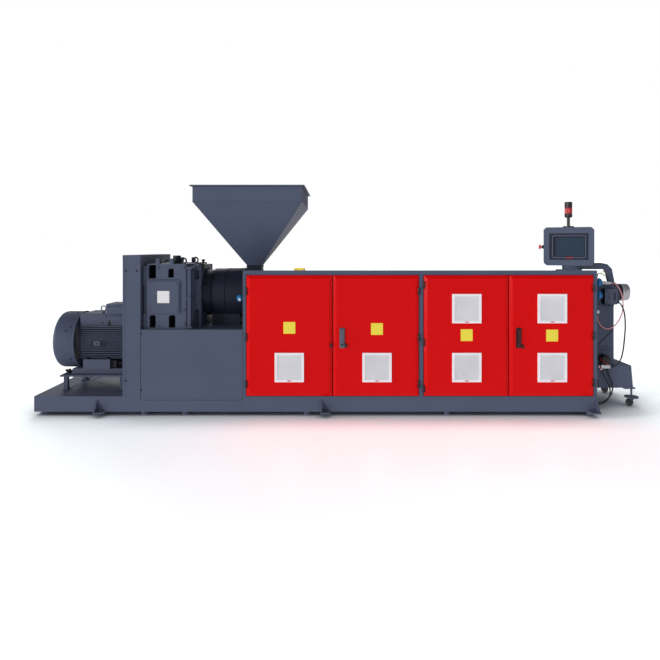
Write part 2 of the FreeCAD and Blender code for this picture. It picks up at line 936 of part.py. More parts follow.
def mounting_boards():
    y = front + board_depth
    high = body_top - top_cover_wall
    return [box(left, right, y, y + panel_wall, base_top, high) for left, right in (bay_1, bay_2)]


# Doors

def door_spans():
    """Left edge, right edge, hinge side and hinge heights of the four doors."""
    spans = []
    rises = (hinge_heights_1, hinge_heights_2, hinge_heights_3, hinge_heights_4)
    heights = [tuple(door_bottom + rise for rise in row) for row in rises]
    for bay in (bay_1, bay_2):
        middle = (bay[0] + bay[1]) / 2
        spans.append((bay[0] + door_gap, middle - door_meeting_gap / 2, "left"))
        spans.append((middle + door_meeting_gap / 2, bay[1] - door_gap, "right"))
    return [span + (tall,) for span, tall in zip(spans, heights)]


def door_pan(left, right, inset):
    """The door's outer form, or its inside when it is inset by the sheet."""
    back = door_back + (1 if inset else 0)
    edge = door_edge + inset
    face = door_face + inset
    x0 = left + inset
    x1 = right - inset
    z0 = door_bottom + inset
    z1 = door_top - inset
    seat = box(x0, x1, edge, back, z0, z1)

    def ring(shrink, y):
        corners = [(x0 + shrink, z0 + shrink), (x1 - shrink, z0 + shrink)]
        corners += [(x1 - shrink, z1 - shrink), (x0 + shrink, z1 - shrink)]
        points = [FreeCAD.Vector(x, y, z) for x, z in corners]
        return Part.makePolygon(points + points[:1])

    raised = Part.makeLoft([ring(0, edge), ring(door_rim, face)], True, True)
    return fuse([seat, raised])


def grille_heights(number):
    """The heights of the grilles in one door."""
    low = door_bottom + grille_low_rise
    high = door_bottom + grille_high_rise
    return (low,) if number < 3 else (low, high)


def grille_place(number):
    """The middle of a door's grilles along X."""
    return door_spans()[number - 1][0] + grille_offsets[number - 1]


def door(number):
    left, right, hinge_side, heights = door_spans()[number - 1]
    pan = door_pan(left, right, 0).cut(door_pan(left, right, door_sheet))
    hinge_x = left if hinge_side == "left" else right
    knuckles = []
    for z in heights:
        notch = rod(hinge_x, hinge_y, z - hinge_height / 2 - hinge_notch, hinge_radius + hinge_notch,
                    hinge_height + 2 * hinge_notch, "z")
        pan = pan.cut(notch)
        length = (hinge_height - hinge_notch) / 2
        knuckle = rod(hinge_x, hinge_y, z + hinge_notch / 2, hinge_radius, length, "z")
        inward = 1 if hinge_side == "left" else -1
        x0, x1 = sorted((hinge_x, hinge_x + inward * (hinge_radius + 2 * hinge_notch)))
        strap = box(x0, x1, hinge_y, door_edge + door_sheet, z + hinge_notch / 2, z + hinge_height / 2)
        bore = rod(hinge_x, hinge_y, z, hinge_pin_radius + hinge_play, hinge_height, "z")
        knuckles.append(fuse([knuckle, strap]).cut(bore))
    half = grille_spigot / 2 + grille_play
    x = grille_place(number)
    for z in grille_heights(number):
        pan = pan.cut(box(x - half, x + half, door_face - 1, door_back + 2, z - half, z + half))
    return [fuse([pan] + knuckles)]


def grilles(number):
    x = grille_place(number)
    pieces = []
    for z in grille_heights(number):
        half = grille_size / 2
        face = box(x - half, x + half, door_face - grille_proud, door_face, z - half, z + half)
        inner = half - grille_frame
        recess = door_face - grille_proud
        deep = recess + grille_proud / 2
        face = face.cut(box(x - inner, x + inner, recess - 1, deep, z - inner, z + inner))
        half = grille_spigot / 2
        spigot = box(x - half, x + half, door_face, door_face + grille_spigot_length, z - half, z + half)
        pieces.append(fuse([face, spigot]))
    return pieces


def hinge_brackets():
    brackets = []
    for left, right, hinge_side, heights in door_spans():
        hinge_x = left if hinge_side == "left" else right
        outward = -1 if hinge_side == "left" else 1
        for z in heights:
            low = z - hinge_height / 2
            knuckle = rod(hinge_x, hinge_y, low, hinge_radius, hinge_height / 2 - hinge_notch / 2, "z")
            pin = rod(hinge_x, hinge_y, low, hinge_pin_radius, hinge_height, "z")
            x0, x1 = sorted((hinge_x + outward * door_gap, hinge_x + outward * (door_gap + hinge_leaf)))
            leaf = box(x0, x1, hinge_y, front, low, z - hinge_notch / 2)
            x0, x1 = sorted((hinge_x, hinge_x + outward * (door_gap + hinge_leaf)))
            y0 = hinge_y - hinge_pin_radius
            y1 = hinge_y + hinge_pin_radius
            web = box(x0, x1, y0, y1, low, z - hinge_notch / 2)
            brackets.append(fuse([knuckle, pin, leaf, web]))
    return brackets


def handle_place(number):
    """The middle of a door handle along X."""
    return door_spans()[number - 1][0] + handle_offset


def lever_axis():
    """Height and depth of a handle lever's pin."""
    z = handle_top - lever_width / 2
    y = door_face - handle_base - lever_gap - lever_thickness / 2
    return y, z


def handle_base_plate(number):
    x = handle_place(number)
    half = handle_width / 2
    plate = box(x - half, x + half, door_face - handle_base, door_face, handle_bottom, handle_top)
    across = edges_along(plate, FreeCAD.Vector(0, 1, 0), lambda point: True)
    plate = plate.makeFillet(half / 3, across)
    y, z = lever_axis()
    cheeks = []
    inner = lever_width / 2 + lever_side_play
    for side in (-1, 1):
        x0, x1 = sorted((x + side * inner, x + side * (half - 2)))
        y0 = y - lever_thickness / 2
        rise = lever_width / 3
        cheeks.append(box(x0, x1, y0, door_face - handle_base, z - rise, z + rise))
    pin = rod(x - half + 2, y, z, lever_pin_radius, handle_width - 4, "x")
    return [fuse([plate, pin] + cheeks)]


def handle_lever(number):
    x = handle_place(number)
    y, z = lever_axis()
    half = lever_width / 2
    thick = lever_thickness / 2
    bar = box(x - half, x + half, y - thick, y + thick, z - lever_length, z + thick)
    along = FreeCAD.Vector(1, 0, 0)
    upper = edges_along(bar, along, lambda point: point.z > z)
    bar = bar.makeFillet(thick * 0.9, upper)
    bore = rod(x - half - 1, y, z, lever_pin_radius + lever_play, lever_width + 2, "x")
    return [bar.cut(bore)]


# Operator panel, lamp and sensor

def turned_panel(shape):
    """A piece of the operator panel, turned about the neck to face along the doors."""
    shape.rotate(FreeCAD.Vector(panel_middle, stop_y, 0), FreeCAD.Vector(0, 0, 1), -panel_turn)
    return shape


def operator_housing():
    right = panel_left + panel_width
    outline = [
        (panel_left + panel_chamfer, panel_bottom),
        (right - panel_chamfer, panel_bottom),
        (right, panel_bottom + panel_chamfer),
        (right, panel_top - panel_chamfer),
        (right - panel_chamfer, panel_top),
        (panel_left + panel_chamfer, panel_top),
        (panel_left, panel_top - panel_chamfer),
        (panel_left, panel_bottom + panel_chamfer),
    ]
    block = side_plate(outline, panel_front, panel_back)
    half = recess_width / 2
    recess = box(panel_middle - half, panel_middle + half, panel_front - 1, panel_front + screen_recess,
                 recess_bottom, recess_bottom + recess_height)
    bore = rod(panel_left - 1, stop_y, stop_z, stop_stem_radius + 1, panel_depth / 2, "x")
    radius = panel_pin_radius + panel_pin_play
    socket = rod(panel_middle, stop_y, panel_bottom - 1, radius, panel_pin_length + 1, "z")
    return [turned_panel(cut(block, [recess, bore, socket]))]


def operator_screen():
    half = bezel_width / 2
    low = recess_bottom + (recess_height - bezel_height) / 2
    y0 = panel_front + screen_recess / 3
    y1 = panel_front + screen_recess
    face = box(panel_middle - half, panel_middle + half, y0, y1, low, low + bezel_height)
    return [turned_panel(face)]


def operator_neck():
    """A riser on the cover, a foot on the front rail, and the stem with the panel's pivot pin."""
    y0 = stop_y - neck_depth / 2
    y1 = stop_y + neck_depth / 2
    low = cabinet_top + neck_foot
    high = panel_bottom - panel_swivel_gap
    outline = [
        (panel_middle - neck_width / 2, high),
        (panel_middle + neck_width / 2, high),
        (panel_middle + neck_width, low),
        (panel_middle - neck_width / 2, low),
    ]
    stem = side_plate(outline, y0, y1)
    half = neck_foot_width / 2
    foot = box(panel_middle - half, panel_middle + half, front, panel_back, cabinet_top, low)
    y0 = front + post_depth
    riser = box(panel_middle - half, panel_middle + half, y0, panel_back, body_top, cabinet_top)
    pin_length = panel_swivel_gap + panel_pin_length - 1
    pin = rod(panel_middle, stop_y, high, panel_pin_radius, pin_length, "z")
    return [fuse([stem, foot, riser, pin])]


def stop_button_collar():
    left = panel_left - stop_collar_length
    collar = rod(left, stop_y, stop_z, stop_collar_radius, stop_collar_length, "x")
    bore = rod(left - 1, stop_y, stop_z, stop_stem_radius + lever_play, stop_collar_length + 2, "x")
    return [turned_panel(collar.cut(bore))]


def stop_button_head():
    left = panel_left - stop_collar_length - stop_gap - stop_head_length
    head = rod(left, stop_y, stop_z, stop_head_radius, stop_head_length, "x")
    rim = [edge for edge in head.Edges if abs(edge.CenterOfMass.x - left) < 1]
    head = head.makeFillet(stop_head_length * 0.6, rim)
    reach = stop_gap + stop_collar_length + stop_travel
    stem = rod(left + stop_head_length, stop_y, stop_z, stop_stem_radius, reach, "x")
    return [turned_panel(fuse([head, stem]))]


def signal_pole():
    """The lamp's foot, pole and cup in one piece, and its cap above the lens."""
    x = panel_middle
    y = stop_y
    foot = rod(x, y, panel_top, lamp_base_radius, lamp_base_height, "z")
    low = panel_top + lamp_base_height
    pole = rod(x, y, low, lamp_pole_radius, lamp_pole_top - low, "z")
    cup = rod(x, y, lamp_pole_top, lamp_radius, lamp_foot_height, "z")
    rim = [edge for edge in cup.Edges if edge.CenterOfMass.z < lamp_pole_top + 1]
    cup = cup.makeFillet(lamp_foot_height / 3, rim)
    cap_low = lamp_pole_top + lamp_foot_height + lamp_lens_height
    cap = rod(x, y, cap_low, lamp_radius, lamp_cap_height, "z")
    rim = [edge for edge in cap.Edges if edge.CenterOfMass.z > cap_low + lamp_cap_height - 1]
    return [fuse([foot, pole, cup]), cap.makeFillet(lamp_cap_height / 12, rim)]


def signal_lamp():
    low = lamp_pole_top + lamp_foot_height
    return [rod(panel_middle, stop_y, low, lamp_radius - 1, lamp_lens_height, "z")]


def top_sensor():
    right = sensor_left + sensor_length
    y1 = front + sensor_depth
    return [box(sensor_left, right, front + 2, y1, cabinet_top, cabinet_top + sensor_height)]


# Die end

def die_column():
    """The column on the cart and the clamp block on it, bored for the barrel and its adapter."""
    half = column_width / 2
    column = box(column_left, column_right, -half, half, cart_top, block_bottom)
    outline = [
        (column_left, block_bottom),
        (column_right + block_step, block_bottom),
        (block_right, block_bottom + block_step),
        (block_right, block_top - block_corner),
        (block_right - block_corner, block_top),
        (column_left, block_top),
    ]
    block = side_plate(outline, -half, half)
    seat = barrel_right + adapter_flange_length - column_left
    wide = rod(column_left, 0, axis_z, barrel_radius + bore_play, seat + bore_play, "x")
    narrow = rod(column_left, 0, axis_z, adapter_radius + bore_play, block_right - column_left, "x")
    return [column, cut(block, [wide, narrow])]


def die_duct():
    """The bent duct from the cabinet down to the clamp block, in straight lengths, and its foot."""
    limb_right = column_right + duct_foot_reach
    bend_right = limb_right - duct_lean / 2
    foot_x = limb_right - block_corner / 2
    stations = (
        ((cabinet_right - duct_lap, duct_top), (cabinet_right - duct_lap, duct_underside)),
        ((bend_right - 2 * duct_bend, duct_top), (bend_right - 2 * duct_bend, duct_underside)),
        ((bend_right - duct_bend, duct_top - duct_bend / 4),
         (bend_right - duct_bend - duct_limb / 2, duct_underside)),
        ((bend_right - duct_bend / 4, duct_top - duct_bend),
         (bend_right - duct_bend / 4 - duct_limb, duct_underside - duct_bend / 2)),
        ((foot_x, block_top), (foot_x - duct_limb, block_top)),
    )
    y0 = -column_width / 2
    y1 = y0 + duct_depth
    lengths = [box(cabinet_right - duct_lap, cabinet_right, y0, y1, body_top, duct_underside)]
    for (upper, lower), (next_upper, next_lower) in zip(stations, stations[1:]):
        lengths.append(side_plate([upper, next_upper, next_lower, lower], y0, y1))
    return lengths


def die_adapter():
    tube = rod(barrel_right, 0, axis_z, adapter_radius, collar_left - barrel_right, "x")
    flange = rod(barrel_right, 0, axis_z, barrel_radius, adapter_flange_length, "x")
    collar = rod(collar_left, 0, axis_z, collar_radius, die_left - collar_left, "x")
    return [fuse([tube, flange, collar])]


def die_head():
    head = rod(die_left, 0, axis_z, die_radius, die_right - die_left, "x")
    tools = [rod(die_left - 1, 0, axis_z, die_bore, die_right - die_left + 2, "x")]
    for index in range(die_bolt_count):
        angle = 2 * math.pi * index / die_bolt_count
        y = die_bolt_circle / 2 * math.cos(angle)
        z = axis_z + die_bolt_circle / 2 * math.sin(angle)
        tools.append(rod(die_right - die_bolt_depth, y, z, die_bolt_radius, die_bolt_depth + 1, "x"))
    return [cut(head, tools)]


def junction_box():
    half = column_width / 2
    right = junction_left + junction_width
    top = junction_bottom + junction_height
    return [box(junction_left, right, -half - junction_depth, -half, junction_bottom, top)]


def circulation_pump():
    """A small motor on the column's front, just above the cart."""
    y = -column_width / 2
    x = column_right - pump_inset
    body = rod(x, y - pump_length, cart_top + pump_rise, pump_radius, pump_length, "y")
    rim = [edge for edge in body.Edges if edge.CenterOfMass.y < y - pump_length + 1]
    return [body.makeFillet(pump_radius / 8, rim)]


def end_fittings():
    """The manifolds and glands that the cords leave and enter."""
    column_face = -column_width / 2
    pieces = []
    places = (
        (manifold_top, axis_z, column_face),
        (manifold_column, axis_z, column_face),
        (manifold_cart, 0, cart_front),
    )
    for (left, right, low, high), level, face in places:
        left += base_length
        right += base_length
        pieces.append(box(left, right, face - manifold_depth, face, level + low, level + high))
    x, y, z = side_cable_route[0]
    y = column_face - gland_length
    pieces.append(rod(base_length + x, y, axis_z + z, gland_radius, gland_length, "y"))
    for route in (low_cable_route_1, low_cable_route_2):
        x, y, z = route[-1]
        pieces.append(rod(base_length, y, z, gland_radius, x, "x"))
    return pieces


def cord(name, route, level, radius):
    """A round tube along straight runs joined by tangent arcs as large as the runs allow."""
    points = [FreeCAD.Vector(base_length + x, y, level + z) for x, y, z in route]
    edges = []
    radii = []
    start = points[0]
    for before, corner, beyond in zip(points, points[1:], points[2:]):
        inward = (before - corner).normalize()
        outward = (beyond - corner).normalize()
        half_turn = (math.pi - inward.getAngle(outward)) / 2
        shorter = min(before.distanceToPoint(corner), beyond.distanceToPoint(corner))
        setback = cord_arc_share * shorter
        bend = setback / math.tan(half_turn)
        radii.append(bend)
        first = corner + inward * setback
        last = corner + outward * setback
        bisector = (inward + outward).normalize()
        middle = corner + bisector * (bend / math.cos(half_turn) - bend)
        edges.append(Part.LineSegment(start, first).toShape())
        edges.append(Part.Arc(first, middle, last).toShape())
        start = last
    edges.append(Part.LineSegment(start, points[-1]).toShape())
    path = Part.Wire(edges)
    section = Part.Wire([Part.makeCircle(radius, points[0], points[1] - points[0])])
    tube = path.makePipeShell([section], True, False)
    expected = math.pi * radius ** 2 * path.Length
    print(name, "length", round(path.Length), "smallest radius", round(min(radii)), "volume ratio",
          round(tube.Volume / expected, 4))
    return [tube]


def cart_body():
    outline = [
        (cart_left, cart_bottom),
        (cart_right, cart_bottom),
        (cart_right - cart_taper, cart_top),
        (cart_left, cart_top),
    ]
    pieces = [side_plate(outline, cart_front, cart_back)]
    low = cart_bottom - caster_plate
    disc_low = fork_top + caster_swivel_gap
    disc_top = disc_low + caster_disc_height
    bores = []
    half = caster_plate_width / 2
    for y in (caster_front_y, caster_back_y):
        x = caster_right_x
        plate_right = x + 2 * caster_stem_radius
        plate_left = cart_right - caster_plate_width
        pieces.append(box(plate_left, plate_right, y - half, y + half, low, cart_bottom))
        pieces.append(rod(x, y, disc_top, caster_stem_radius, low - disc_top, "z"))
        pieces.append(rod(x, y, disc_low, caster_disc_radius, caster_disc_height, "z"))
        bore_length = caster_pin_length + caster_swivel_gap
        bores.append(rod(x, y, disc_low - 1, caster_pin_radius + caster_play, bore_length + 1, "z"))
        x = caster_left_x
        pieces.append(box(x - half, x + half, y - half, y + half, low, cart_bottom))
        pieces.append(rod(x, y, fork_top, caster_stem_radius, low - fork_top, "z"))
        pieces.append(fork(x, y))
    return [cut(fuse(pieces), bores)]


def fork(x, y):
    """A caster's fork, with its axle set back by the trail."""
    axle_x = x - caster_trail
    outer = fork_width / 2
    half = fork_length / 2
    left = axle_x - half / 2
    right = x + half
    plate = box(left, right, y - outer, y + outer, fork_top - fork_wall, fork_top)
    pieces = [plate]
    for side in (-1, 1):
        y0, y1 = sorted((y + side * outer, y + side * (outer - fork_wall)))
        low = wheel_axis_z - axle_radius
        reach = 2 * axle_radius
        outline = [(left, fork_top), (right, fork_top), (axle_x + reach, low), (axle_x - reach, low)]
        pieces.append(side_plate(outline, y0, y1))
    pieces.append(rod(axle_x, y - outer, wheel_axis_z, axle_radius, fork_width, "y"))
    return fuse(pieces)


def caster_fork(y):
    x = caster_right_x
    pin = rod(x, y, fork_top, caster_pin_radius, caster_pin_length, "z")
    return [fuse([fork(x, y), pin])]


def caster_wheel(x, y):
    axle_x = x - caster_trail
    half = wheel_width / 2
    wheel = rod(axle_x, y - half, wheel_axis_z, wheel_radius, wheel_width, "y")
    bore = rod(axle_x, y - half - 1, wheel_axis_z, axle_radius + caster_play, wheel_width + 2, "y")
    return [wheel.cut(bore)]


def save(name, solids):
    """One file per node, moved so that the machine's middle is at the origin."""
    shape = solids[0] if len(solids) == 1 else Part.makeCompound(solids)
    shape = shape.copy()
    shape.translate(FreeCAD.Vector(-overall_length / 2, 0, 0))
    shape.exportStep(os.path.join("parts", name + ".step"))
    valid = "" if all(solid.isValid() for solid in solids) else "NOT VALID"
    print(name, len(shape.Solids), "solids, litres", round(shape.Volume / 1e6, 2), valid)


os.makedirs("parts", exist_ok=True)
save("base_rails", base_rails())
save("base_floor", base_floor())
save("levelling_feet", levelling_feet())
save("anchor_brackets", anchor_brackets())
save("motor_bench", motor_bench())
save("motor_body", motor_body())
save("motor_fan_cowl", motor_fan_cowl())
save("motor_terminal_box", motor_terminal_box())
save("motor_shaft", motor_shaft())
save("belt_guard", belt_guard())
save("pedestal", pedestal())
save("gearbox_housing", gearbox_housing())
save("gearbox_covers", gearbox_covers())
save("gearbox_fittings", gearbox_fittings())
save("lantern_housing", lantern_housing())
save("feed_throat", feed_throat())
save("barrel", barrel())
save("hopper_shell", hopper_shell())
save("cabinet_frame", cabinet_frame())
save("cabinet_panels", cabinet_panels())
save("mounting_boards", mounting_boards())
save("hinge_brackets", hinge_brackets())
for number in (1, 2, 3, 4):
    save(f"door_{number}", door(number))
    save(f"grilles_{number}", grilles(number))
for number in (2, 4):
    save(f"handle_base_{number}", handle_base_plate(number))
    save(f"handle_lever_{number}", handle_lever(number))
save("operator_housing", operator_housing())
save("operator_screen", operator_screen())
save("operator_neck", operator_neck())
save("stop_button_collar", stop_button_collar())
save("stop_button_head", stop_button_head())
save("signal_pole", signal_pole())
save("signal_lamp", signal_lamp())
save("top_sensor", top_sensor())
save("die_column", die_column())
save("die_duct", die_duct())
save("die_adapter", die_adapter())
save("die_head", die_head())
save("junction_box", junction_box())
save("circulation_pump", circulation_pump())
save("end_fittings", end_fittings())
save("hose_loop", cord("hose_loop", hose_route, axis_z, hose_radius))
save("cable_side", cord("cable_side", side_cable_route, axis_z, side_cable_radius))
save("cable_low_1", cord("cable_low_1", low_cable_route_1, 0, low_cable_radius))
save("cable_low_2", cord("cable_low_2", low_cable_route_2, 0, low_cable_radius))
save("cart_body", cart_body())
save("caster_fork_front", caster_fork(caster_front_y))
save("caster_fork_back", caster_fork(caster_back_y))
save("caster_wheel_front_right", caster_wheel(caster_right_x, caster_front_y))
save("caster_wheel_back_right", caster_wheel(caster_right_x, caster_back_y))
save("caster_wheel_front_left", caster_wheel(caster_left_x, caster_front_y))
save("caster_wheel_back_left", caster_wheel(caster_left_x, caster_back_y))
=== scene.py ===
import json
import math
import bpy
import numpy as np
from bpy.props import FloatProperty, FloatVectorProperty, PointerProperty
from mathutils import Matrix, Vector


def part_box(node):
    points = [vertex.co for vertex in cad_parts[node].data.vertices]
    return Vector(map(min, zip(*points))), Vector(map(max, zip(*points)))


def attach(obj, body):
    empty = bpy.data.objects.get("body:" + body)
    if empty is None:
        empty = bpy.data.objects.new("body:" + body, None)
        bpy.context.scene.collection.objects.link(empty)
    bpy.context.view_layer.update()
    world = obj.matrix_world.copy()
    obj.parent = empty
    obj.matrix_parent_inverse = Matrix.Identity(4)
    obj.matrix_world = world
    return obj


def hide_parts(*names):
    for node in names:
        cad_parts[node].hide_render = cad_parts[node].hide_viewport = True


bl_info = {
    "name": "Pelletizing machine",
    "version": (1, 0, 0),
    "blender": (4, 5, 0),
    "location": "View3D > Sidebar > Pelletizer",
    "description": "Dresses the packed plastic pelletizing machine with its finishes and fine pieces",
    "category": "Add Mesh",
}

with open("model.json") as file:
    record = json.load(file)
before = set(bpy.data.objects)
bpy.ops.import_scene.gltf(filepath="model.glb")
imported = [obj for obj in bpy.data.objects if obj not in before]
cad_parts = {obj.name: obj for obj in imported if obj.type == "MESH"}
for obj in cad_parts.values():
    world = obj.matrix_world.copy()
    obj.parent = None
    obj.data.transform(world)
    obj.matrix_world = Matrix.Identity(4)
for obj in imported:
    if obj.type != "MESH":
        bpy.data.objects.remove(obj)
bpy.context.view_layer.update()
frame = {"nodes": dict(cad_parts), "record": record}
BODY = "machine"
MM = 0.001
AXIS_LEVEL = 1021


def corner(node):
    """Lowest and highest corner of a node as two arrays, in metres."""
    low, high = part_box(node)
    return np.array(low), np.array(high)


BASE_LEFT = corner("base_floor")[0][0]
BASE_RIGHT = corner("base_floor")[1][0]


def at(x, y, z):
    """A point from millimetres: x from the base's left end, y from the middle, z from the floor."""
    return np.array([BASE_LEFT + x * MM, y * MM, z * MM])


def x_at(x):
    """Place along the machine, in metres, of millimetres from the base's left end."""
    return BASE_LEFT + x * MM


def joint_place(body):
    """Where a moving body's joint is."""
    return next(row for row in frame["record"]["behaviour"]["joints"] if row["child"] == body)["pos_m"]


# Settings that a user would change

class PaintColours(bpy.types.PropertyGroup):
    """Colours of the machine's finishes."""
    slate: FloatVectorProperty(
        name="Slate paint", description="Blue grey paint of the base, guards and castings",
        subtype="COLOR", min=0.0, max=1.0, default=(0.079, 0.098, 0.150))
    lantern: FloatVectorProperty(
        name="Lantern paint", description="Near black paint of the round lantern housing",
        subtype="COLOR", min=0.0, max=1.0, default=(0.014, 0.018, 0.031))
    red: FloatVectorProperty(
        name="Door red", description="Glossy red paint of the cabinet doors",
        subtype="COLOR", min=0.0, max=1.0, default=(0.70, 0.003, 0.004))
    grille: FloatVectorProperty(
        name="Grille white", description="White plastic of the filter grilles",
        subtype="COLOR", min=0.0, max=1.0, default=(0.93, 0.91, 0.92))
    plate: FloatVectorProperty(
        name="Plate yellow", description="Yellow of the bare plates on the doors",
        subtype="COLOR", min=0.0, max=1.0, default=(0.90, 0.76, 0.06))
    hose: FloatVectorProperty(
        name="Hose pink", description="Pink of the looped hose at the die end",
        subtype="COLOR", min=0.0, max=1.0, default=(0.68, 0.27, 0.27))


class PieceSizes(bpy.types.PropertyGroup):
    """Sizes that several fine pieces share."""
    sheet: FloatProperty(
        name="Sheet", description="How far a laid-on sheet stands out",
        unit="LENGTH", min=0.0005, max=0.01, default=0.002)
    nut: FloatProperty(
        name="Foot nut", description="Radius of the levelling feet's nuts",
        unit="LENGTH", min=0.005, max=0.05, default=0.016)
    ring_pitch: FloatProperty(
        name="Grille pitch", description="Distance between the rings of the motor's intake grille",
        unit="LENGTH", min=0.005, max=0.05, default=0.012)
    louvre_pitch: FloatProperty(
        name="Louvre pitch", description="Distance between the louvres of the rear sheets",
        unit="LENGTH", min=0.01, max=0.1, default=0.026)
    mesh_pitch: FloatProperty(
        name="Filter pitch", description="Distance between the threads of the door grilles' mesh",
        unit="LENGTH", min=0.003, max=0.03, default=0.0085)


class StudioSettings(bpy.types.PropertyGroup):
    """Camera place and light levels."""
    distance: FloatProperty(
        name="Camera distance", description="From the camera to the doors' plane",
        unit="LENGTH", min=1.0, default=4.8)
    height: FloatProperty(
        name="Camera height", description="Height of the camera above the floor",
        unit="LENGTH", min=0.1, default=1.424)
    aside: FloatProperty(
        name="Camera place", description="Camera place along the machine from its middle",
        unit="LENGTH", default=-0.0585)
    pixel: FloatProperty(
        name="Size of a pixel", description="Width that one pixel covers on the doors' plane",
        unit="LENGTH", min=0.001, default=0.0085)
    sky: FloatProperty(
        name="Sky level", description="Strength of the even light from all sides",
        min=0.0, max=2.0, default=0.27)
    key: FloatProperty(
        name="Key light", description="Strength of the low light from the left",
        min=0.0, max=20.0, default=1.08)
    fill: FloatProperty(
        name="Fill light", description="Strength of the wide soft light from the front",
        min=0.0, max=20.0, default=0.55)
    rim: FloatProperty(
        name="Rim light", description="Strength of the side light that the doors' left rims catch",
        min=0.0, max=20.0, default=1.2)
    floor_tone: FloatProperty(
        name="Floor tone", description="How much light the seen floor throws back",
        min=0.0, max=10.0, default=2.75)
    floor_glow: FloatProperty(
        name="Floor glow", description="Light that the floor throws up at the machine",
        min=0.0, max=2.0, default=0.80)


GROUPS = {}
FINISHES = {}


# Surfaces worked out as whole arrays

def rounded_outline(width, height, radius, steps=5):
    """A rounded rectangle: four quarter circles of one radius about the inset corners."""
    turn = np.linspace(0.0, math.pi / 2, steps + 1)
    quarter = np.arange(4)[:, None] * math.pi / 2 + turn[None, :]
    centre_x = np.array([1, -1, -1, 1]) * (width / 2 - radius)
    centre_y = np.array([1, 1, -1, -1]) * (height / 2 - radius)
    x = centre_x[:, None] + radius * np.cos(quarter)
    y = centre_y[:, None] + radius * np.sin(quarter)
    return np.stack([x.ravel(), y.ravel()], axis=1)


def ring_surface(rows, close=True, wrap_rows=False):
    """A grid of rings as a mesh: point (i, j) joins (i, j + 1) round and (i + 1, j) along the rows."""
    count, around = rows.shape[:2]
    index = np.arange(count * around).reshape(count, around)
    after = np.roll(index, -1, axis=1)
    if wrap_rows:
        low, low_after = index, after
        high, high_after = np.roll(index, -1, axis=0), np.roll(after, -1, axis=0)
    else:
        low, low_after, high, high_after = index[:-1], after[:-1], index[1:], after[1:]
    quads = np.stack([low, low_after, high_after, high], axis=-1).reshape(-1, 4)
    faces = quads.tolist()
    if close and not wrap_rows:
        faces.append(index[0][::-1].tolist())
        faces.append(index[-1].tolist())
    return rows.reshape(-1, 3), faces


AXES = {
    "x": (np.array([0.0, 1.0, 0.0]), np.array([0.0, 0.0, 1.0]), np.array([1.0, 0.0, 0.0])),
    "y": (np.array([0.0, 0.0, 1.0]), np.array([1.0, 0.0, 0.0]), np.array([0.0, 1.0, 0.0])),
    "z": (np.array([1.0, 0.0, 0.0]), np.array([0.0, 1.0, 0.0]), np.array([0.0, 0.0, 1.0])),
}
for way, (first, second, along) in list(AXES.items()):
    AXES["-" + way] = (second, first, -along)


def stacked(outlines, places, centre, way):
    """Outlines carried along one axis: each (n, 2) outline lies across the axis at its own place."""
    first, second, along = AXES[way]
    outlines = np.asarray(outlines, float)
    places = np.asarray(places, float)[:, None, None]
    flat = outlines[..., :1] * first + outlines[..., 1:] * second
    return np.asarray(centre, float) + flat + places * along


def slab(centre, size, radius=0.0, bevel=0.001, way="z", steps=4):
    """A plate with round corners and chamfers: four outlines, the end ones drawn in by the bevel."""
    radius = max(radius, bevel * 1.2)
    width, height, thick = size
    full = rounded_outline(width, height, radius, steps)
    small = rounded_outline(width - 2 * bevel, height - 2 * bevel, max(radius - bevel, bevel * 0.2),
                            steps)
    half = thick / 2
    rows = stacked([small, full, full, small], [-half, bevel - half, half - bevel, half], centre, way)
    return ring_surface(rows)


def span(low, high, radius=0.0, bevel=0.001, way="z", steps=4):
    """A slab between two corners."""
    low = np.asarray(low, float)
    high = np.asarray(high, float)
    size = high - low
    order = {"x": (1, 2, 0), "y": (2, 0, 1), "z": (0, 1, 2)}[way]
    return slab((low + high) / 2, [size[i] for i in order], radius, bevel, way, steps)


def lathe(stations, centre, way="z", around=32):
    """A turned form: circles of the stations' radii at their places along the axis."""
    stations = np.asarray(stations, float)
    angle = np.linspace(0.0, 2 * math.pi, around, endpoint=False)
    circle = np.stack([np.cos(angle), np.sin(angle)], axis=1)
    outlines = stations[:, 1][:, None, None] * circle[None]
    return ring_surface(stacked(outlines, stations[:, 0], centre, way))


def torus(centre, ring, bar, way="z", around=28, section=12):
    """A ring of round bar: a small circle carried round a large one."""
    first, second, along = AXES[way]
    u = np.linspace(0.0, 2 * math.pi, around, endpoint=False)[:, None, None]
    v = np.linspace(0.0, 2 * math.pi, section, endpoint=False)[None, :, None]
    out = np.cos(u) * first + np.sin(u) * second
    rows = np.asarray(centre) + (ring + bar * np.cos(v)) * out - bar * np.sin(v) * along
    return ring_surface(rows, wrap_rows=True)


def hoop(centre, outer, inner, radius, depth, way="y", bevel=0.0008, steps=5):
    """A flat ring: an outer and an inner rounded rectangle joined at both faces, with drawn-in rims."""
    wide = rounded_outline(outer[0], outer[1], radius, steps)
    wide_rim = rounded_outline(outer[0] - 2 * bevel, outer[1] - 2 * bevel, radius, steps)
    gap = min(outer[0] - inner[0], outer[1] - inner[1]) / 2
    corner_radius = max(radius - gap, 0.0005)
    slim = rounded_outline(inner[0], inner[1], corner_radius, steps)
    slim_rim = rounded_outline(inner[0] + 2 * bevel, inner[1] + 2 * bevel, corner_radius, steps)
    half = depth / 2
    rows = stacked([wide_rim, wide, wide, wide_rim, slim_rim, slim, slim, slim_rim],
                   [-half, bevel - half, half - bevel, half, half, half - bevel, bevel - half, -half],
                   centre, way)
    return ring_surface(rows, wrap_rows=True)


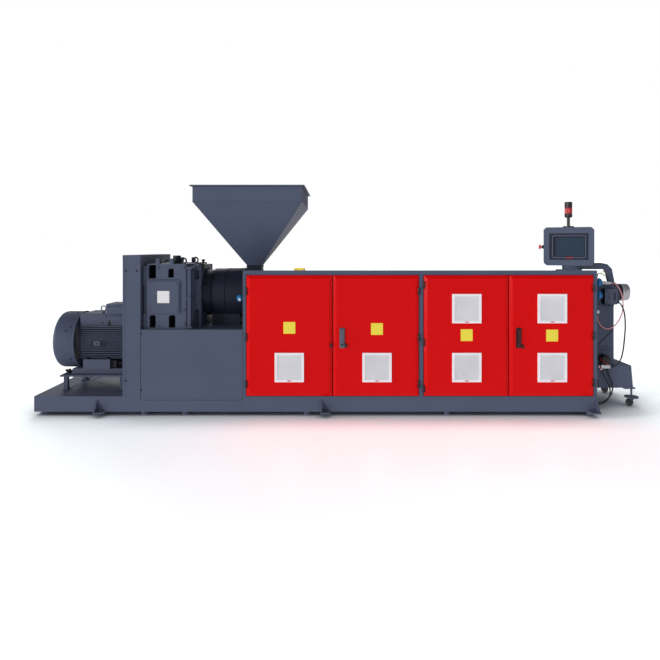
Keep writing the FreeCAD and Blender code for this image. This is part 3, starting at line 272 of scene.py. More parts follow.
def grid_of(low, high, pitch, bar, y):
    """A woven mesh: flat bars at an even pitch both ways in one upright plane."""
    bars = []
    for x in np.arange(low[0] + pitch / 2, high[0], pitch):
        bars.append(span((x - bar / 2, y, low[1]), (x + bar / 2, y + bar, high[1]), 0.0, bar * 0.2, "z",
                         1))
    for z in np.arange(low[1] + pitch / 2, high[1], pitch):
        bars.append(span((low[0], y - bar * 0.4, z - bar / 2), (high[0], y + bar * 0.6, z + bar / 2),
                         0.0, bar * 0.2, "x", 1))
    return joined(*bars)


def bolt_head(centre, radius, height, way="z", sides=6):
    """A hexagon head with a chamfered top."""
    return lathe([(0.0, radius), (height * 0.8, radius), (height, radius * 0.84)], centre, way, sides)


def stud(centre, radius, rise, tip, top, way="z", around=12):
    """A round head: straight up to its rise, then drawn in to the tip's radius at the top."""
    return lathe([(0.0, radius), (rise, radius), (top, tip)], centre, way, around)


def mirrored(low, high, radius=0.0, bevel=0.001, way="z", steps=4):
    """A span on the front side and the same one on the far side of the machine's middle."""
    far_low = (low[0], -high[1], low[2])
    far_high = (high[0], -low[1], high[2])
    return [span(low, high, radius, bevel, way, steps),
            span(far_low, far_high, radius, bevel, way, steps)]


def copies(shape, offsets):
    """One shape repeated at many offsets."""
    points, faces = shape
    offsets = np.asarray(offsets, float)
    moved = (points[None] + offsets[:, None]).reshape(-1, 3)
    count = len(points)
    repeated = [[corner_index + k * count for corner_index in face] for k in range(len(offsets))
                for face in faces]
    return moved, repeated


def joined(*shapes):
    """Several shapes as one mesh."""
    points = []
    faces = []
    total = 0
    for shape_points, shape_faces in shapes:
        points.append(np.asarray(shape_points, float))
        faces += [[index + total for index in face] for face in shape_faces]
        total += len(shape_points)
    return np.concatenate(points), faces


def turned_about(shape, centre, way, angle):
    """A shape turned by an angle about one axis through a point."""
    points, faces = shape
    first, second, along = AXES[way]
    local = points - np.asarray(centre, float)
    a = local @ first
    b = local @ second
    c = local @ along
    a, b = a * math.cos(angle) - b * math.sin(angle), a * math.sin(angle) + b * math.cos(angle)
    return np.asarray(centre) + a[:, None] * first + b[:, None] * second + c[:, None] * along, faces


def piece(name, shape, finish, body=BODY, sharp=35.0):
    """Makes the object of a shape, or of a list of shapes, with its finish and its body."""
    points, faces = joined(*shape) if isinstance(shape, list) else shape
    mesh = bpy.data.meshes.new(name)
    mesh.from_pydata(points.tolist(), [], faces)
    mesh.validate()
    mesh.shade_smooth()
    mesh.set_sharp_from_angle(angle=math.radians(sharp))
    obj = bpy.data.objects.new(name, mesh)
    bpy.context.scene.collection.objects.link(obj)
    mesh.materials.append(FINISHES[finish])
    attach(obj, body)
    return obj


def tube(name, points, radius, finish, body=BODY, order=3):
    """A round line through space: one NURBS curve held by given points, with its radius as bevel."""
    curve = bpy.data.curves.new(name, "CURVE")
    curve.dimensions = "3D"
    curve.bevel_depth = radius
    curve.bevel_resolution = 4
    curve.use_fill_caps = True
    spline = curve.splines.new("NURBS")
    spline.points.add(len(points) - 1)
    for control, place in zip(spline.points, points):
        control.co = (*place, 1.0)
    spline.order_u = order
    spline.use_endpoint_u = True
    spline.resolution_u = 12
    obj = bpy.data.objects.new(name, curve)
    bpy.context.scene.collection.objects.link(obj)
    curve.materials.append(FINISHES[finish])
    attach(obj, body)
    return obj


def dress(node, finish, bevel=0.0, sharp=30.0):
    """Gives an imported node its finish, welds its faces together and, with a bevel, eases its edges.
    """
    obj = frame["nodes"][node]
    mesh = obj.data
    mesh.materials.clear()
    mesh.materials.append(FINISHES[finish])
    weld = obj.modifiers.new("Weld", "WELD")
    weld.merge_threshold = 0.00002
    if bevel:
        rim = obj.modifiers.new("Rim", "BEVEL")
        rim.width = bevel
        rim.segments = 2
        rim.limit_method = "ANGLE"
        rim.angle_limit = math.radians(sharp)
        rim.harden_normals = False
    return obj


# Shader groups

def new_group(name, inputs, outputs):
    """An empty shader group with named sockets, and its input and output nodes."""
    group = bpy.data.node_groups.new(name, "ShaderNodeTree")
    for label, kind, value in inputs:
        socket = group.interface.new_socket(label, in_out="INPUT", socket_type=kind)
        socket.default_value = value
    for label, kind in outputs:
        group.interface.new_socket(label, in_out="OUTPUT", socket_type=kind)
    return group, group.nodes.new("NodeGroupInput"), group.nodes.new("NodeGroupOutput")


def node(tree, kind, **values):
    """A shader node with its settings and unlinked inputs."""
    made = tree.nodes.new("ShaderNode" + kind)
    for key, value in values.items():
        if hasattr(made, key):
            setattr(made, key, value)
        else:
            made.inputs[key.replace("_", " ")].default_value = value
    return made


def maths(tree, operation, first, second):
    """A Math node of two values, each a socket or a number."""
    made = tree.nodes.new("ShaderNodeMath")
    made.operation = operation
    for socket, value in zip(made.inputs, (first, second)):
        if isinstance(value, (int, float)):
            socket.default_value = value
        else:
            tree.links.new(value, socket)
    return made.outputs[0]


def grain_group():
    """Sprayed paint or casting skin: fine grain over slow waves, as a height and a mottling mask."""
    group, entry, exit_node = new_group(
        "Paint grain",
        [("Grain Scale", "NodeSocketFloat", 900.0), ("Mottle Scale", "NodeSocketFloat", 3.0)],
        [("Height", "NodeSocketFloat"), ("Mottle", "NodeSocketFloat")])
    place = node(group, "TexCoord")
    fine = node(group, "TexNoise", Detail=2.0, Roughness=0.6)
    slow = node(group, "TexNoise", Detail=5.0, Roughness=0.62)
    group.links.new(place.outputs["Object"], fine.inputs["Vector"])
    group.links.new(place.outputs["Object"], slow.inputs["Vector"])
    group.links.new(entry.outputs["Grain Scale"], fine.inputs["Scale"])
    group.links.new(entry.outputs["Mottle Scale"], slow.inputs["Scale"])
    group.links.new(fine.outputs["Fac"], exit_node.inputs["Height"])
    group.links.new(slow.outputs["Fac"], exit_node.inputs["Mottle"])
    return group


def dust_group():
    """Workshop dust: more near the floor and on faces that look up, broken up by noise."""
    group, entry, exit_node = new_group(
        "Workshop dust",
        [("Reach", "NodeSocketFloat", 0.5), ("Amount", "NodeSocketFloat", 0.25)],
        [("Dust", "NodeSocketFloat")])
    place = node(group, "TexCoord")
    split = node(group, "SeparateXYZ")
    group.links.new(place.outputs["Object"], split.inputs[0])
    fall = maths(group, "DIVIDE", split.outputs["Z"], entry.outputs["Reach"])
    low = maths(group, "SUBTRACT", 1.0, fall)
    near = maths(group, "MAXIMUM", low, 0.0)
    shape = node(group, "NewGeometry")
    facing = node(group, "SeparateXYZ")
    group.links.new(shape.outputs["Normal"], facing.inputs[0])
    up = maths(group, "MAXIMUM", facing.outputs["Z"], 0.0)
    both = maths(group, "ADD", maths(group, "MULTIPLY", near, 0.6), maths(group, "MULTIPLY", up, 0.5))
    patches = node(group, "TexNoise", Scale=14.0, Detail=7.0, Roughness=0.7)
    group.links.new(place.outputs["Object"], patches.inputs["Vector"])
    broken = maths(group, "MULTIPLY", both, patches.outputs["Fac"])
    amount = maths(group, "MULTIPLY", broken, entry.outputs["Amount"])
    group.links.new(maths(group, "MINIMUM", amount, 1.0), exit_node.inputs["Dust"])
    return group


def brushed_group():
    """Turned or brushed metal: noise drawn out along one axis, as a height and a mask."""
    group, entry, exit_node = new_group(
        "Brushed lines",
        [("Stretch", "NodeSocketVector", (4.0, 300.0, 300.0))],
        [("Lines", "NodeSocketFloat")])
    place = node(group, "TexCoord")
    mapping = node(group, "Mapping")
    lines = node(group, "TexNoise", Scale=1.0, Detail=3.0, Roughness=0.7)
    group.links.new(place.outputs["Object"], mapping.inputs["Vector"])
    group.links.new(entry.outputs["Stretch"], mapping.inputs["Scale"])
    group.links.new(mapping.outputs["Vector"], lines.inputs["Vector"])
    group.links.new(lines.outputs["Fac"], exit_node.inputs["Lines"])
    return group




def blank_material(name):
    """A material with a Principled shader, ready for links."""
    material = bpy.data.materials.new(name)
    material.use_nodes = True
    tree = material.node_tree
    tree.nodes.clear()
    shader = tree.nodes.new("ShaderNodeBsdfPrincipled")
    output = tree.nodes.new("ShaderNodeOutputMaterial")
    tree.links.new(shader.outputs[0], output.inputs["Surface"])
    return material, tree, shader


def placed_group(tree, group, **values):
    """A shared group placed in a material, with its inputs set."""
    made = tree.nodes.new("ShaderNodeGroup")
    made.node_tree = GROUPS[group]
    for key, value in values.items():
        made.inputs[key.replace("_", " ")].default_value = value
    return made


def mix_colours(tree, factor, first, second):
    """Two colours mixed by a socket; each colour is a socket or an rgb value."""
    made = tree.nodes.new("ShaderNodeMix")
    made.data_type = "RGBA"
    tree.links.new(factor, made.inputs["Factor"])
    for socket, value in ((made.inputs[6], first), (made.inputs[7], second)):
        if hasattr(value, "is_output"):
            tree.links.new(value, socket)
        else:
            socket.default_value = (*value, 1.0)
    return made.outputs[2]


def spread(tree, value, low, high, from_low=0.3, from_high=0.7):
    """A value carried from one range to another."""
    made = tree.nodes.new("ShaderNodeMapRange")
    tree.links.new(value, made.inputs["Value"])
    made.inputs["From Min"].default_value = from_low
    made.inputs["From Max"].default_value = from_high
    made.inputs["To Min"].default_value = low
    made.inputs["To Max"].default_value = high
    return made.outputs["Result"]


def bumped(tree, shader, height, strength, distance=0.001):
    """Carries a height into the shader's normal."""
    made = node(tree, "Bump", Strength=strength, Distance=distance)
    tree.links.new(height, made.inputs["Height"])
    tree.links.new(made.outputs[0], shader.inputs["Normal"])


def painted(name, colour, rough=0.42, grain=700.0, bump=0.12, vary=0.10, dust=0.0, coat=0.0, mottle=3.0,
            gloss=0.4):
    """Painted or moulded finish: mottled colour and gloss, fine grain and a little dust."""
    material, tree, shader = blank_material(name)
    skin = placed_group(tree, "Paint grain", Grain_Scale=grain, Mottle_Scale=mottle)
    colour = np.array(colour[:3])
    light = tuple(np.clip(colour * (1 + vary), 0, 1))
    dark = tuple(colour * (1 - vary))
    patches = spread(tree, skin.outputs["Mottle"], 0.0, 1.0)
    base = mix_colours(tree, patches, dark, light)
    if dust:
        layer = placed_group(tree, "Workshop dust", Amount=dust)
        pale = tuple(np.clip(colour * 0.5 + np.array([0.12, 0.115, 0.11]), 0, 1))
        base = mix_colours(tree, layer.outputs["Dust"], base, pale)
    tree.links.new(base, shader.inputs["Base Color"])
    rough_out = spread(tree, skin.outputs["Mottle"], rough - 0.05, rough + 0.06)
    tree.links.new(rough_out, shader.inputs["Roughness"])
    shader.inputs["Specular IOR Level"].default_value = gloss
    shader.inputs["Coat Weight"].default_value = coat
    shader.inputs["Coat Roughness"].default_value = 0.12
    bumped(tree, shader, skin.outputs["Height"], bump, 0.0006)
    FINISHES[name] = material
    return material


def metal(name, colour, rough=0.3, stretch=(4.0, 260.0, 260.0), bump=0.08, worn=0.15):
    """Bare metal with brushed or turned lines that change gloss and colour."""
    material, tree, shader = blank_material(name)
    lines = placed_group(tree, "Brushed lines", Stretch=stretch)
    skin = placed_group(tree, "Paint grain", Grain_Scale=400.0, Mottle_Scale=9.0)
    colour = np.array(colour[:3])
    base = mix_colours(tree, lines.outputs["Lines"], tuple(colour * (1 - worn)),
                       tuple(np.clip(colour * (1 + worn), 0, 1)))
    tree.links.new(base, shader.inputs["Base Color"])
    shader.inputs["Metallic"].default_value = 1.0
    tree.links.new(spread(tree, skin.outputs["Mottle"], rough - 0.08, rough + 0.1),
                   shader.inputs["Roughness"])
    bumped(tree, shader, lines.outputs["Lines"], bump, 0.0003)
    FINISHES[name] = material
    return material


class PELLET_OT_finishes(bpy.types.Operator):
    """Makes the shader groups and every finish of the machine."""
    bl_idname = "pellet.finishes"
    bl_label = "Finishes"

    def execute(self, context):
        GROUPS["Paint grain"] = grain_group()
        GROUPS["Workshop dust"] = dust_group()
        GROUPS["Brushed lines"] = brushed_group()
        colours = context.scene.pellet_colours
        slate = np.array(colours.slate)
        painted("Slate paint", slate, rough=0.45, dust=0.04, gloss=0.2, vary=0.05)
        painted("Slate casting", slate * 0.96, rough=0.5, grain=260.0, bump=0.3, vary=0.08, dust=0.05,
                gloss=0.2)
        painted("Lantern paint", colours.lantern, rough=0.42, grain=300.0, bump=0.2, vary=0.12,
                gloss=0.15)
        painted("Door red", colours.red, rough=0.24, grain=520.0, bump=0.04, vary=0.02, gloss=0.08,
                mottle=1.2)
        painted("Recess navy", (0.022, 0.026, 0.048), rough=0.4, grain=900.0, bump=0.05, vary=0.1,
                gloss=0.2)
        painted("Gear grey", (0.30, 0.31, 0.32), rough=0.5, grain=1200.0, bump=0.04, vary=0.05)
        painted("Filter mat", (0.62, 0.62, 0.64), rough=0.9, grain=1400.0, bump=0.4, vary=0.12,
                gloss=0.1)
        painted("Fitting pale", (0.70, 0.52, 0.52), rough=0.35, grain=900.0, bump=0.05, vary=0.06)
        painted("Grille white", colours.grille, rough=0.5, grain=1200.0, bump=0.05, vary=0.03)
        painted("Filter mesh", (0.90, 0.91, 0.93), rough=0.8, grain=1800.0, bump=0.2, vary=0.06,
                gloss=0.15)
        painted("Plate yellow", colours.plate, rough=0.4, grain=1200.0, bump=0.03, vary=0.03)
        painted("Plate white", (0.82, 0.82, 0.82), rough=0.4, grain=1200.0, bump=0.03, vary=0.03)
        painted("Black plastic", (0.012, 0.012, 0.014), rough=0.36, grain=1500.0, bump=0.08, vary=0.2)
        painted("Deep shade", (0.006, 0.007, 0.010), rough=0.7, grain=500.0, bump=0.1, vary=0.2)
        painted("Rubber", (0.018, 0.018, 0.019), rough=0.62, grain=900.0, bump=0.2, vary=0.2, dust=0.3)
        painted("Handle grey", (0.10, 0.11, 0.14), rough=0.4, grain=900.0, bump=0.1, vary=0.1)
        painted("Handle dark", (0.045, 0.006, 0.008), rough=0.35, grain=900.0, bump=0.1, vary=0.1)
        painted("Button red", (0.60, 0.010, 0.012), rough=0.22, grain=900.0, bump=0.02, vary=0.03,
                coat=0.4)
        painted("Lamp red", (0.42, 0.010, 0.014), rough=0.16, grain=300.0, bump=0.05, vary=0.05,
                coat=0.6)
        painted("Sensor orange", (0.85, 0.42, 0.03), rough=0.35, grain=900.0, bump=0.04, vary=0.04)
        painted("Fitting blue", (0.010, 0.19, 0.45), rough=0.24, grain=600.0, bump=0.05, vary=0.06,
                coat=0.5)
        painted("Screen black", (0.010, 0.013, 0.024), rough=0.2, grain=50.0, bump=0.0, vary=0.1,
                gloss=0.3)
        painted("Screen teal", (0.018, 0.038, 0.062), rough=0.2, grain=50.0, bump=0.0, vary=0.1,
                gloss=0.25)
        painted("Hose pink", colours.hose, rough=0.45, grain=900.0, bump=0.05, vary=0.08, mottle=24.0)
        painted("Cable black", (0.022, 0.023, 0.027), rough=0.5, grain=1500.0, bump=0.06, vary=0.2)
        painted("Wire red", (0.42, 0.012, 0.014), rough=0.4, grain=1500.0, bump=0.04, vary=0.1)
        painted("Wire yellow", (0.72, 0.62, 0.05), rough=0.4, grain=1500.0, bump=0.04, vary=0.1)
        painted("Bezel grey", (0.18, 0.20, 0.30), rough=0.34, grain=900.0, bump=0.04, vary=0.05)
        painted("Tab red", (0.25, 0.03, 0.05), rough=0.3, grain=900.0, bump=0.04, vary=0.05)
        painted("Nickel", (0.62, 0.63, 0.66), rough=0.3, grain=900.0, bump=0.03, vary=0.10, mottle=30.0)
        metal("Bright steel", (0.50, 0.50, 0.51), rough=0.3)
        metal("Zinc", (0.50, 0.51, 0.53), rough=0.42, stretch=(30.0, 30.0, 30.0), bump=0.03, worn=0.25)
        metal("Turned steel", (0.54, 0.53, 0.52), rough=0.26, stretch=(420.0, 6.0, 6.0))
        return {"FINISHED"}


# Cords, each as the points of its route in millimetres: along from the base's right end,
# across from the middle, and up from the level that it hangs at

HOSE_LOOP = (
    (237, -141, 93), (273, -141, 93), (305, -147, 74), (328, -157, 32), (343, -167, -28),
    (349, -171, -96), (341, -171, -171), (315, -169, -238), (274, -165, -293),
    (224, -160, -321), (174, -154, -309), (137, -148, -267), (128, -142, -219),
    (128, -142, -181),
)
CABLE_SIDE = (
    (310, -141, -81), (310, -175, -81), (314, -206, -98), (320, -230, -131), (327, -238, -178),
    (336, -231, -238), (346, -212, -310), (352, -186, -400), (352, -168, -492),
    (340, -162, -570), (318, -162, -617), (287, -162, -646), (256, -162, -659),
    (230, -162, -659),
)
CABLE_LOW_1 = (
    (214, -162, 352), (214, -162, 312), (242, -163, 254), (258, -165, 190), (250, -167, 128),
    (216, -168, 78), (160, -168, 44), (96, -166, 34), (44, -165, 54), (16, -165, 54),
)
CABLE_LOW_2 = (
    (164, -170, 352), (164, -170, 318), (184, -184, 262), (212, -194, 206), (220, -202, 142),
    (200, -206, 86), (156, -206, 46), (104, -203, 36), (48, -200, 54), (16, -200, 54),
)
CORDS = (
    ("hose_loop", HOSE_LOOP, AXIS_LEVEL, 5, 714, "Hose pink", "hose_pink"),
    ("cable_side", CABLE_SIDE, AXIS_LEVEL, 6, 712, "Cable black", "cable_black"),
    ("cable_low_1", CABLE_LOW_1, 0, 6, 502, "Cable black", "cable_black"),
    ("cable_low_2", CABLE_LOW_2, 0, 6, 481, "Cable black", "cable_black"),
)


def route(points, level):
    """A route's points in metres."""
    return [np.array([BASE_RIGHT + x * MM, y * MM, (level + z) * MM]) for x, y, z in points]


def relief(start, following, radius, reach):
    """A tapered sleeve with a collar where a cord leaves its housing: circles set along its start."""
    along_cord = following - start
    along_cord = along_cord / np.linalg.norm(along_cord)
    side = np.cross(along_cord, (0.0, 1.0, 0.0) if abs(along_cord[1]) < 0.9 else (1.0, 0.0, 0.0))
    side = side / np.linalg.norm(side)
    other = np.cross(along_cord, side)
    stations = np.array([(-0.001, 2.2), (0.12, 2.2), (0.14, 1.75), (0.30, 1.72), (0.36, 1.5),
                         (1.0, 1.12)])
    angle = np.linspace(0.0, 2 * math.pi, 20, endpoint=False)
    circle = np.cos(angle)[:, None] * side + np.sin(angle)[:, None] * other
    places, sizes = stations.T[:, :, None, None]
    return ring_surface(start + places * reach * along_cord + sizes * radius * circle[None])


class PELLET_OT_cords(bpy.types.Operator):
    """Lays the pink hose and the three cables of the die end, with a sleeve at each end."""
    bl_idname = "pellet.cords"
    bl_label = "Cords"

    def execute(self, context):
        for name, points, level, radius, length, finish, slot in CORDS:
            places = route(points, level)
            cord = tube(name + "_line", places, radius * MM, finish)
            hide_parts(name)
            sleeves = joined(relief(places[0], places[1], radius * MM, 0.026),
                             relief(places[-1], places[-2], radius * MM, 0.022))
            sleeve = piece(name + "_sleeves", sleeves, "Black plastic")
        return {"FINISHED"}


class PELLET_OT_stage(bpy.types.Operator):
    """Makes the pale floor, the soft lights and the camera at the photograph's viewing angle."""
    bl_idname = "pellet.stage"
    bl_label = "Stage"

    def execute(self, context):
        scene = context.scene
        studio = scene.pellet_studio
        scene.view_settings.view_transform = "Standard"
        side = 60.0
        points = np.array([(-side, -side, 0), (side, -side, 0), (side, side, 0), (-side, side, 0)],
                          float)
        mesh = bpy.data.meshes.new("studio_floor")
        mesh.from_pydata(points.tolist(), [], [[0, 1, 2, 3]])
        floor = bpy.data.objects.new("studio_floor", mesh)
        scene.collection.objects.link(floor)
        mesh.materials.append(self.floor_material(studio))
        self.world(scene, studio)
        self.lamps(scene, studio)
        camera_data = bpy.data.cameras.new("studio_camera")
        camera = bpy.data.objects.new("studio_camera", camera_data)
        scene.collection.objects.link(camera)
        frame_pixels = 660
        principal_x = 339.0
        principal_y = 248.5
        camera_data.sensor_width = 36.0
        camera_data.lens = studio.distance / studio.pixel / frame_pixels * camera_data.sensor_width
        camera_data.shift_x = 0.5 - principal_x / frame_pixels
        camera_data.shift_y = principal_y / frame_pixels - 0.5
        door_plane = corner("base_rails")[0][1]
        camera.location = (studio.aside, door_plane - studio.distance, studio.height)
        camera.rotation_euler = (math.pi / 2, 0.0, 0.0)
        scene.camera = camera
        return {"FINISHED"}

    def floor_material(self, studio):
        """White with shadows and a faint mirror image to the camera; an even glow to the machine."""
        material = bpy.data.materials.new("Studio floor")
        material.use_nodes = True
        tree = material.node_tree
        tree.nodes.clear()
        tone = studio.floor_tone
        matt = tree.nodes.new("ShaderNodeBsdfDiffuse")
        shade = node(tree, "AmbientOcclusion", samples=12, Distance=0.45)
        shade.inputs["Color"].default_value = (1.0, 1.0, 1.0, 1.0)
        deep = maths(tree, "POWER", shade.outputs["AO"], 1.2)
        paler = tree.nodes.new("ShaderNodeVectorMath")
        paler.operation = "SCALE"
        paler.inputs[0].default_value = (tone * 0.965, tone * 1.03, tone * 0.99)
        tree.links.new(deep, paler.inputs["Scale"])
        tree.links.new(paler.outputs[0], matt.inputs["Color"])
        gloss = node(tree, "BsdfGlossy", Roughness=0.16)
        gloss.inputs["Color"].default_value = (1.0, 1.0, 1.0, 1.0)
        shown = tree.nodes.new("ShaderNodeMixShader")
        shown.inputs[0].default_value = 0.06
        tree.links.new(matt.outputs[0], shown.inputs[1])
        tree.links.new(gloss.outputs[0], shown.inputs[2])
        glow = tree.nodes.new("ShaderNodeEmission")
        glow.inputs["Color"].default_value = (0.96, 0.94, 1.0, 1.0)
        glow.inputs["Strength"].default_value = studio.floor_glow
        rays = tree.nodes.new("ShaderNodeLightPath")
        blend = tree.nodes.new("ShaderNodeMixShader")
        output = tree.nodes.new("ShaderNodeOutputMaterial")
        tree.links.new(rays.outputs["Is Camera Ray"], blend.inputs[0])
        tree.links.new(glow.outputs[0], blend.inputs[1])
        tree.links.new(shown.outputs[0], blend.inputs[2])
        tree.links.new(blend.outputs[0], output.inputs["Surface"])
        return material

    def world(self, scene, studio):
        """Even light from all sides, and white where the camera looks past the machine."""
        world = bpy.data.worlds.new("studio_world")
        scene.world = world
        world.use_nodes = True
        tree = world.node_tree
        tree.nodes.clear()
        rays = tree.nodes.new("ShaderNodeLightPath")
        seen = maths(tree, "MAXIMUM", rays.outputs["Is Camera Ray"],
                     rays.outputs["Is Transmission Ray"])
        light = tree.nodes.new("ShaderNodeBackground")
        light.inputs["Color"].default_value = (0.93, 0.90, 1.0, 1.0)
        light.inputs["Strength"].default_value = studio.sky
        white = tree.nodes.new("ShaderNodeBackground")
        white.inputs["Color"].default_value = (1.0, 1.0, 1.0, 1.0)
        white.inputs["Strength"].default_value = 1.0
        blend = tree.nodes.new("ShaderNodeMixShader")
        output = tree.nodes.new("ShaderNodeOutputWorld")
        tree.links.new(seen, blend.inputs[0])
        tree.links.new(light.outputs[0], blend.inputs[1])
        tree.links.new(white.outputs[0], blend.inputs[2])
        tree.links.new(blend.outputs[0], output.inputs["Surface"])

    def lamps(self, scene, studio):
        """Low light from the left and the front, a side light, and a weak one from behind."""
        suns = (
            ("key", 4.0, 45.0, studio.key, 11.0),
            ("fill", 3.0, 0.0, studio.fill, 80.0),
            ("rim", 10.0, 86.0, studio.rim, 20.0),
            ("back", 30.0, 172.0, studio.fill, 40.0),
        )
        for name, elevation, azimuth, strength, spread_angle in suns:
            data = bpy.data.lights.new("studio_" + name, "SUN")
            data.energy = strength
            data.angle = math.radians(spread_angle)
            lamp = bpy.data.objects.new("studio_" + name, data)
            scene.collection.objects.link(lamp)
            lamp.rotation_euler = (math.radians(90.0 - elevation), 0.0, math.radians(-azimuth))


class PELLET_OT_frame(bpy.types.Operator):
    """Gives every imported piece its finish."""
    bl_idname = "pellet.frame"
    bl_label = "Packed pieces"

    def execute(self, context):
        finishes = {
            "base_paint": "Slate paint", "machine_paint": "Slate casting",
            "dark_casting": "Lantern paint",
            "bright_steel": "Bright steel", "black_steel": "Black plastic", "zinc_plate": "Zinc",
            "door_paint": "Door red", "grille_plastic": "Grille white", "handle_grey": "Handle grey",
            "handle_dark": "Handle dark", "screen_glass": "Screen black", "stop_red": "Button red",
            "black_plastic": "Black plastic", "lamp_red": "Lamp red", "sensor_yellow": "Sensor orange",
            "wheel_rubber": "Rubber", "hose_pink": "Hose pink", "cable_black": "Cable black",
        }
        rims = {"base_paint": 0.0015, "machine_paint": 0.003, "door_paint": 0.0015}
        for row in frame["record"]["subparts"]:
            slot = row["material_slot"]
            dress(row["node"], finishes[slot], rims.get(slot, 0.0))
        return {"FINISHED"}


class PELLET_OT_base(bpy.types.Operator):
    """Adds the base's nuts, sheets, seams and screws, and the bench's feet and jacks."""
    bl_idname = "pellet.base"
    bl_label = "Base and bench"

    def execute(self, context):
        sizes = context.scene.pellet_pieces
        low, high = corner("levelling_feet")
        pad = sizes.nut
        nut = bolt_head((0, 0, 0), pad, pad * 0.7, "z")
        base_low = corner("base_rails")[0][2]
        stations = np.linspace(low[0] + 0.025, high[0] - 0.025, 6)
        places = [(x, y, base_low - pad * 0.72) for x in stations
                  for y in (low[1] + 0.025, high[1] - 0.025)]
        piece("foot_nuts", copies(nut, places), "Slate paint", sharp=25.0)
        front = corner("pedestal")[0][1]
        left, right = corner("pedestal")[0][0], corner("pedestal")[1][0]
        top = corner("pedestal")[1][2]
        sill = base_low + 0.101
        skin = sizes.sheet
        sheet = mirrored((left + 0.004, front - skin, sill), (right - 0.001, front, top - 0.001), 0.002,
                         skin * 0.4, "y")
        piece("pedestal_sheets", sheet, "Slate paint")
        seam = 0.0004
        dark_lines = mirrored((left - 0.001, front - seam, sill), (left + 0.0035, front + seam, top), 0.0,
                         seam / 2, "y")
        dark_lines += mirrored((left, front - seam, sill - 0.003), (right, front + seam, sill), 0.0,
                          seam / 2, "y")
        piece("pedestal_seams", dark_lines, "Deep shade")
        screw = stud((0, 0, 0), 0.0075, 0.003, 0.005, 0.0045, "-y")
        spots = [at(910, 0, 697), at(913, 0, 221), at(872, 0, 1234), at(780, 0, 1234), at(780, 0, 300)]
        spots = [(x, front - skin, z) for x, y, z in spots]
        piece("guard_screws", copies(screw, spots), "Deep shade")
        guard_low, guard_high = corner("belt_guard")
        edge_strip = 0.020
        folds = []
        for x in (guard_low[0], guard_high[0] - edge_strip):
            folds += mirrored((x, guard_high[1], guard_low[2]),
                              (x + edge_strip, guard_high[1] + skin, guard_high[2] - edge_strip), 0.001, skin * 0.4,
                              "y")
        piece("guard_folds", folds, "Slate paint")
        bench_low, bench_high = corner("motor_bench")
        bench_top = bench_high[2] - 0.045
        feet = []
        deck = base_low + 0.132
        for x in (bench_low[0] + 0.0205, bench_high[0] - 0.0935):
            feet += mirrored((x - 0.032, 0.156, deck), (x + 0.032, 0.216, deck + 0.006), 0.004)
        piece("bench_feet", feet, "Slate paint")
        rail_left = bench_low[0] + 0.079
        jacks = []
        for side in (-1, 1):
            y = side * 0.1625
            z = bench_top + 0.020
            thread = [(k * 0.003, 0.0075 if k % 2 else 0.0063) for k in range(24)]
            jacks.append(lathe(thread, (rail_left - 0.072, y, z), "x", 16))
            jacks.append(bolt_head((rail_left - 0.060, y, z), 0.014, 0.014, "-x"))
            jacks.append(span((rail_left - 0.050, y - 0.020, bench_top),
                              (rail_left - 0.038, y + 0.020, z + 0.014), 0.003, 0.001, "x"))
        piece("bench_jacks", jacks, "Black plastic", sharp=25.0)
        return {"FINISHED"}


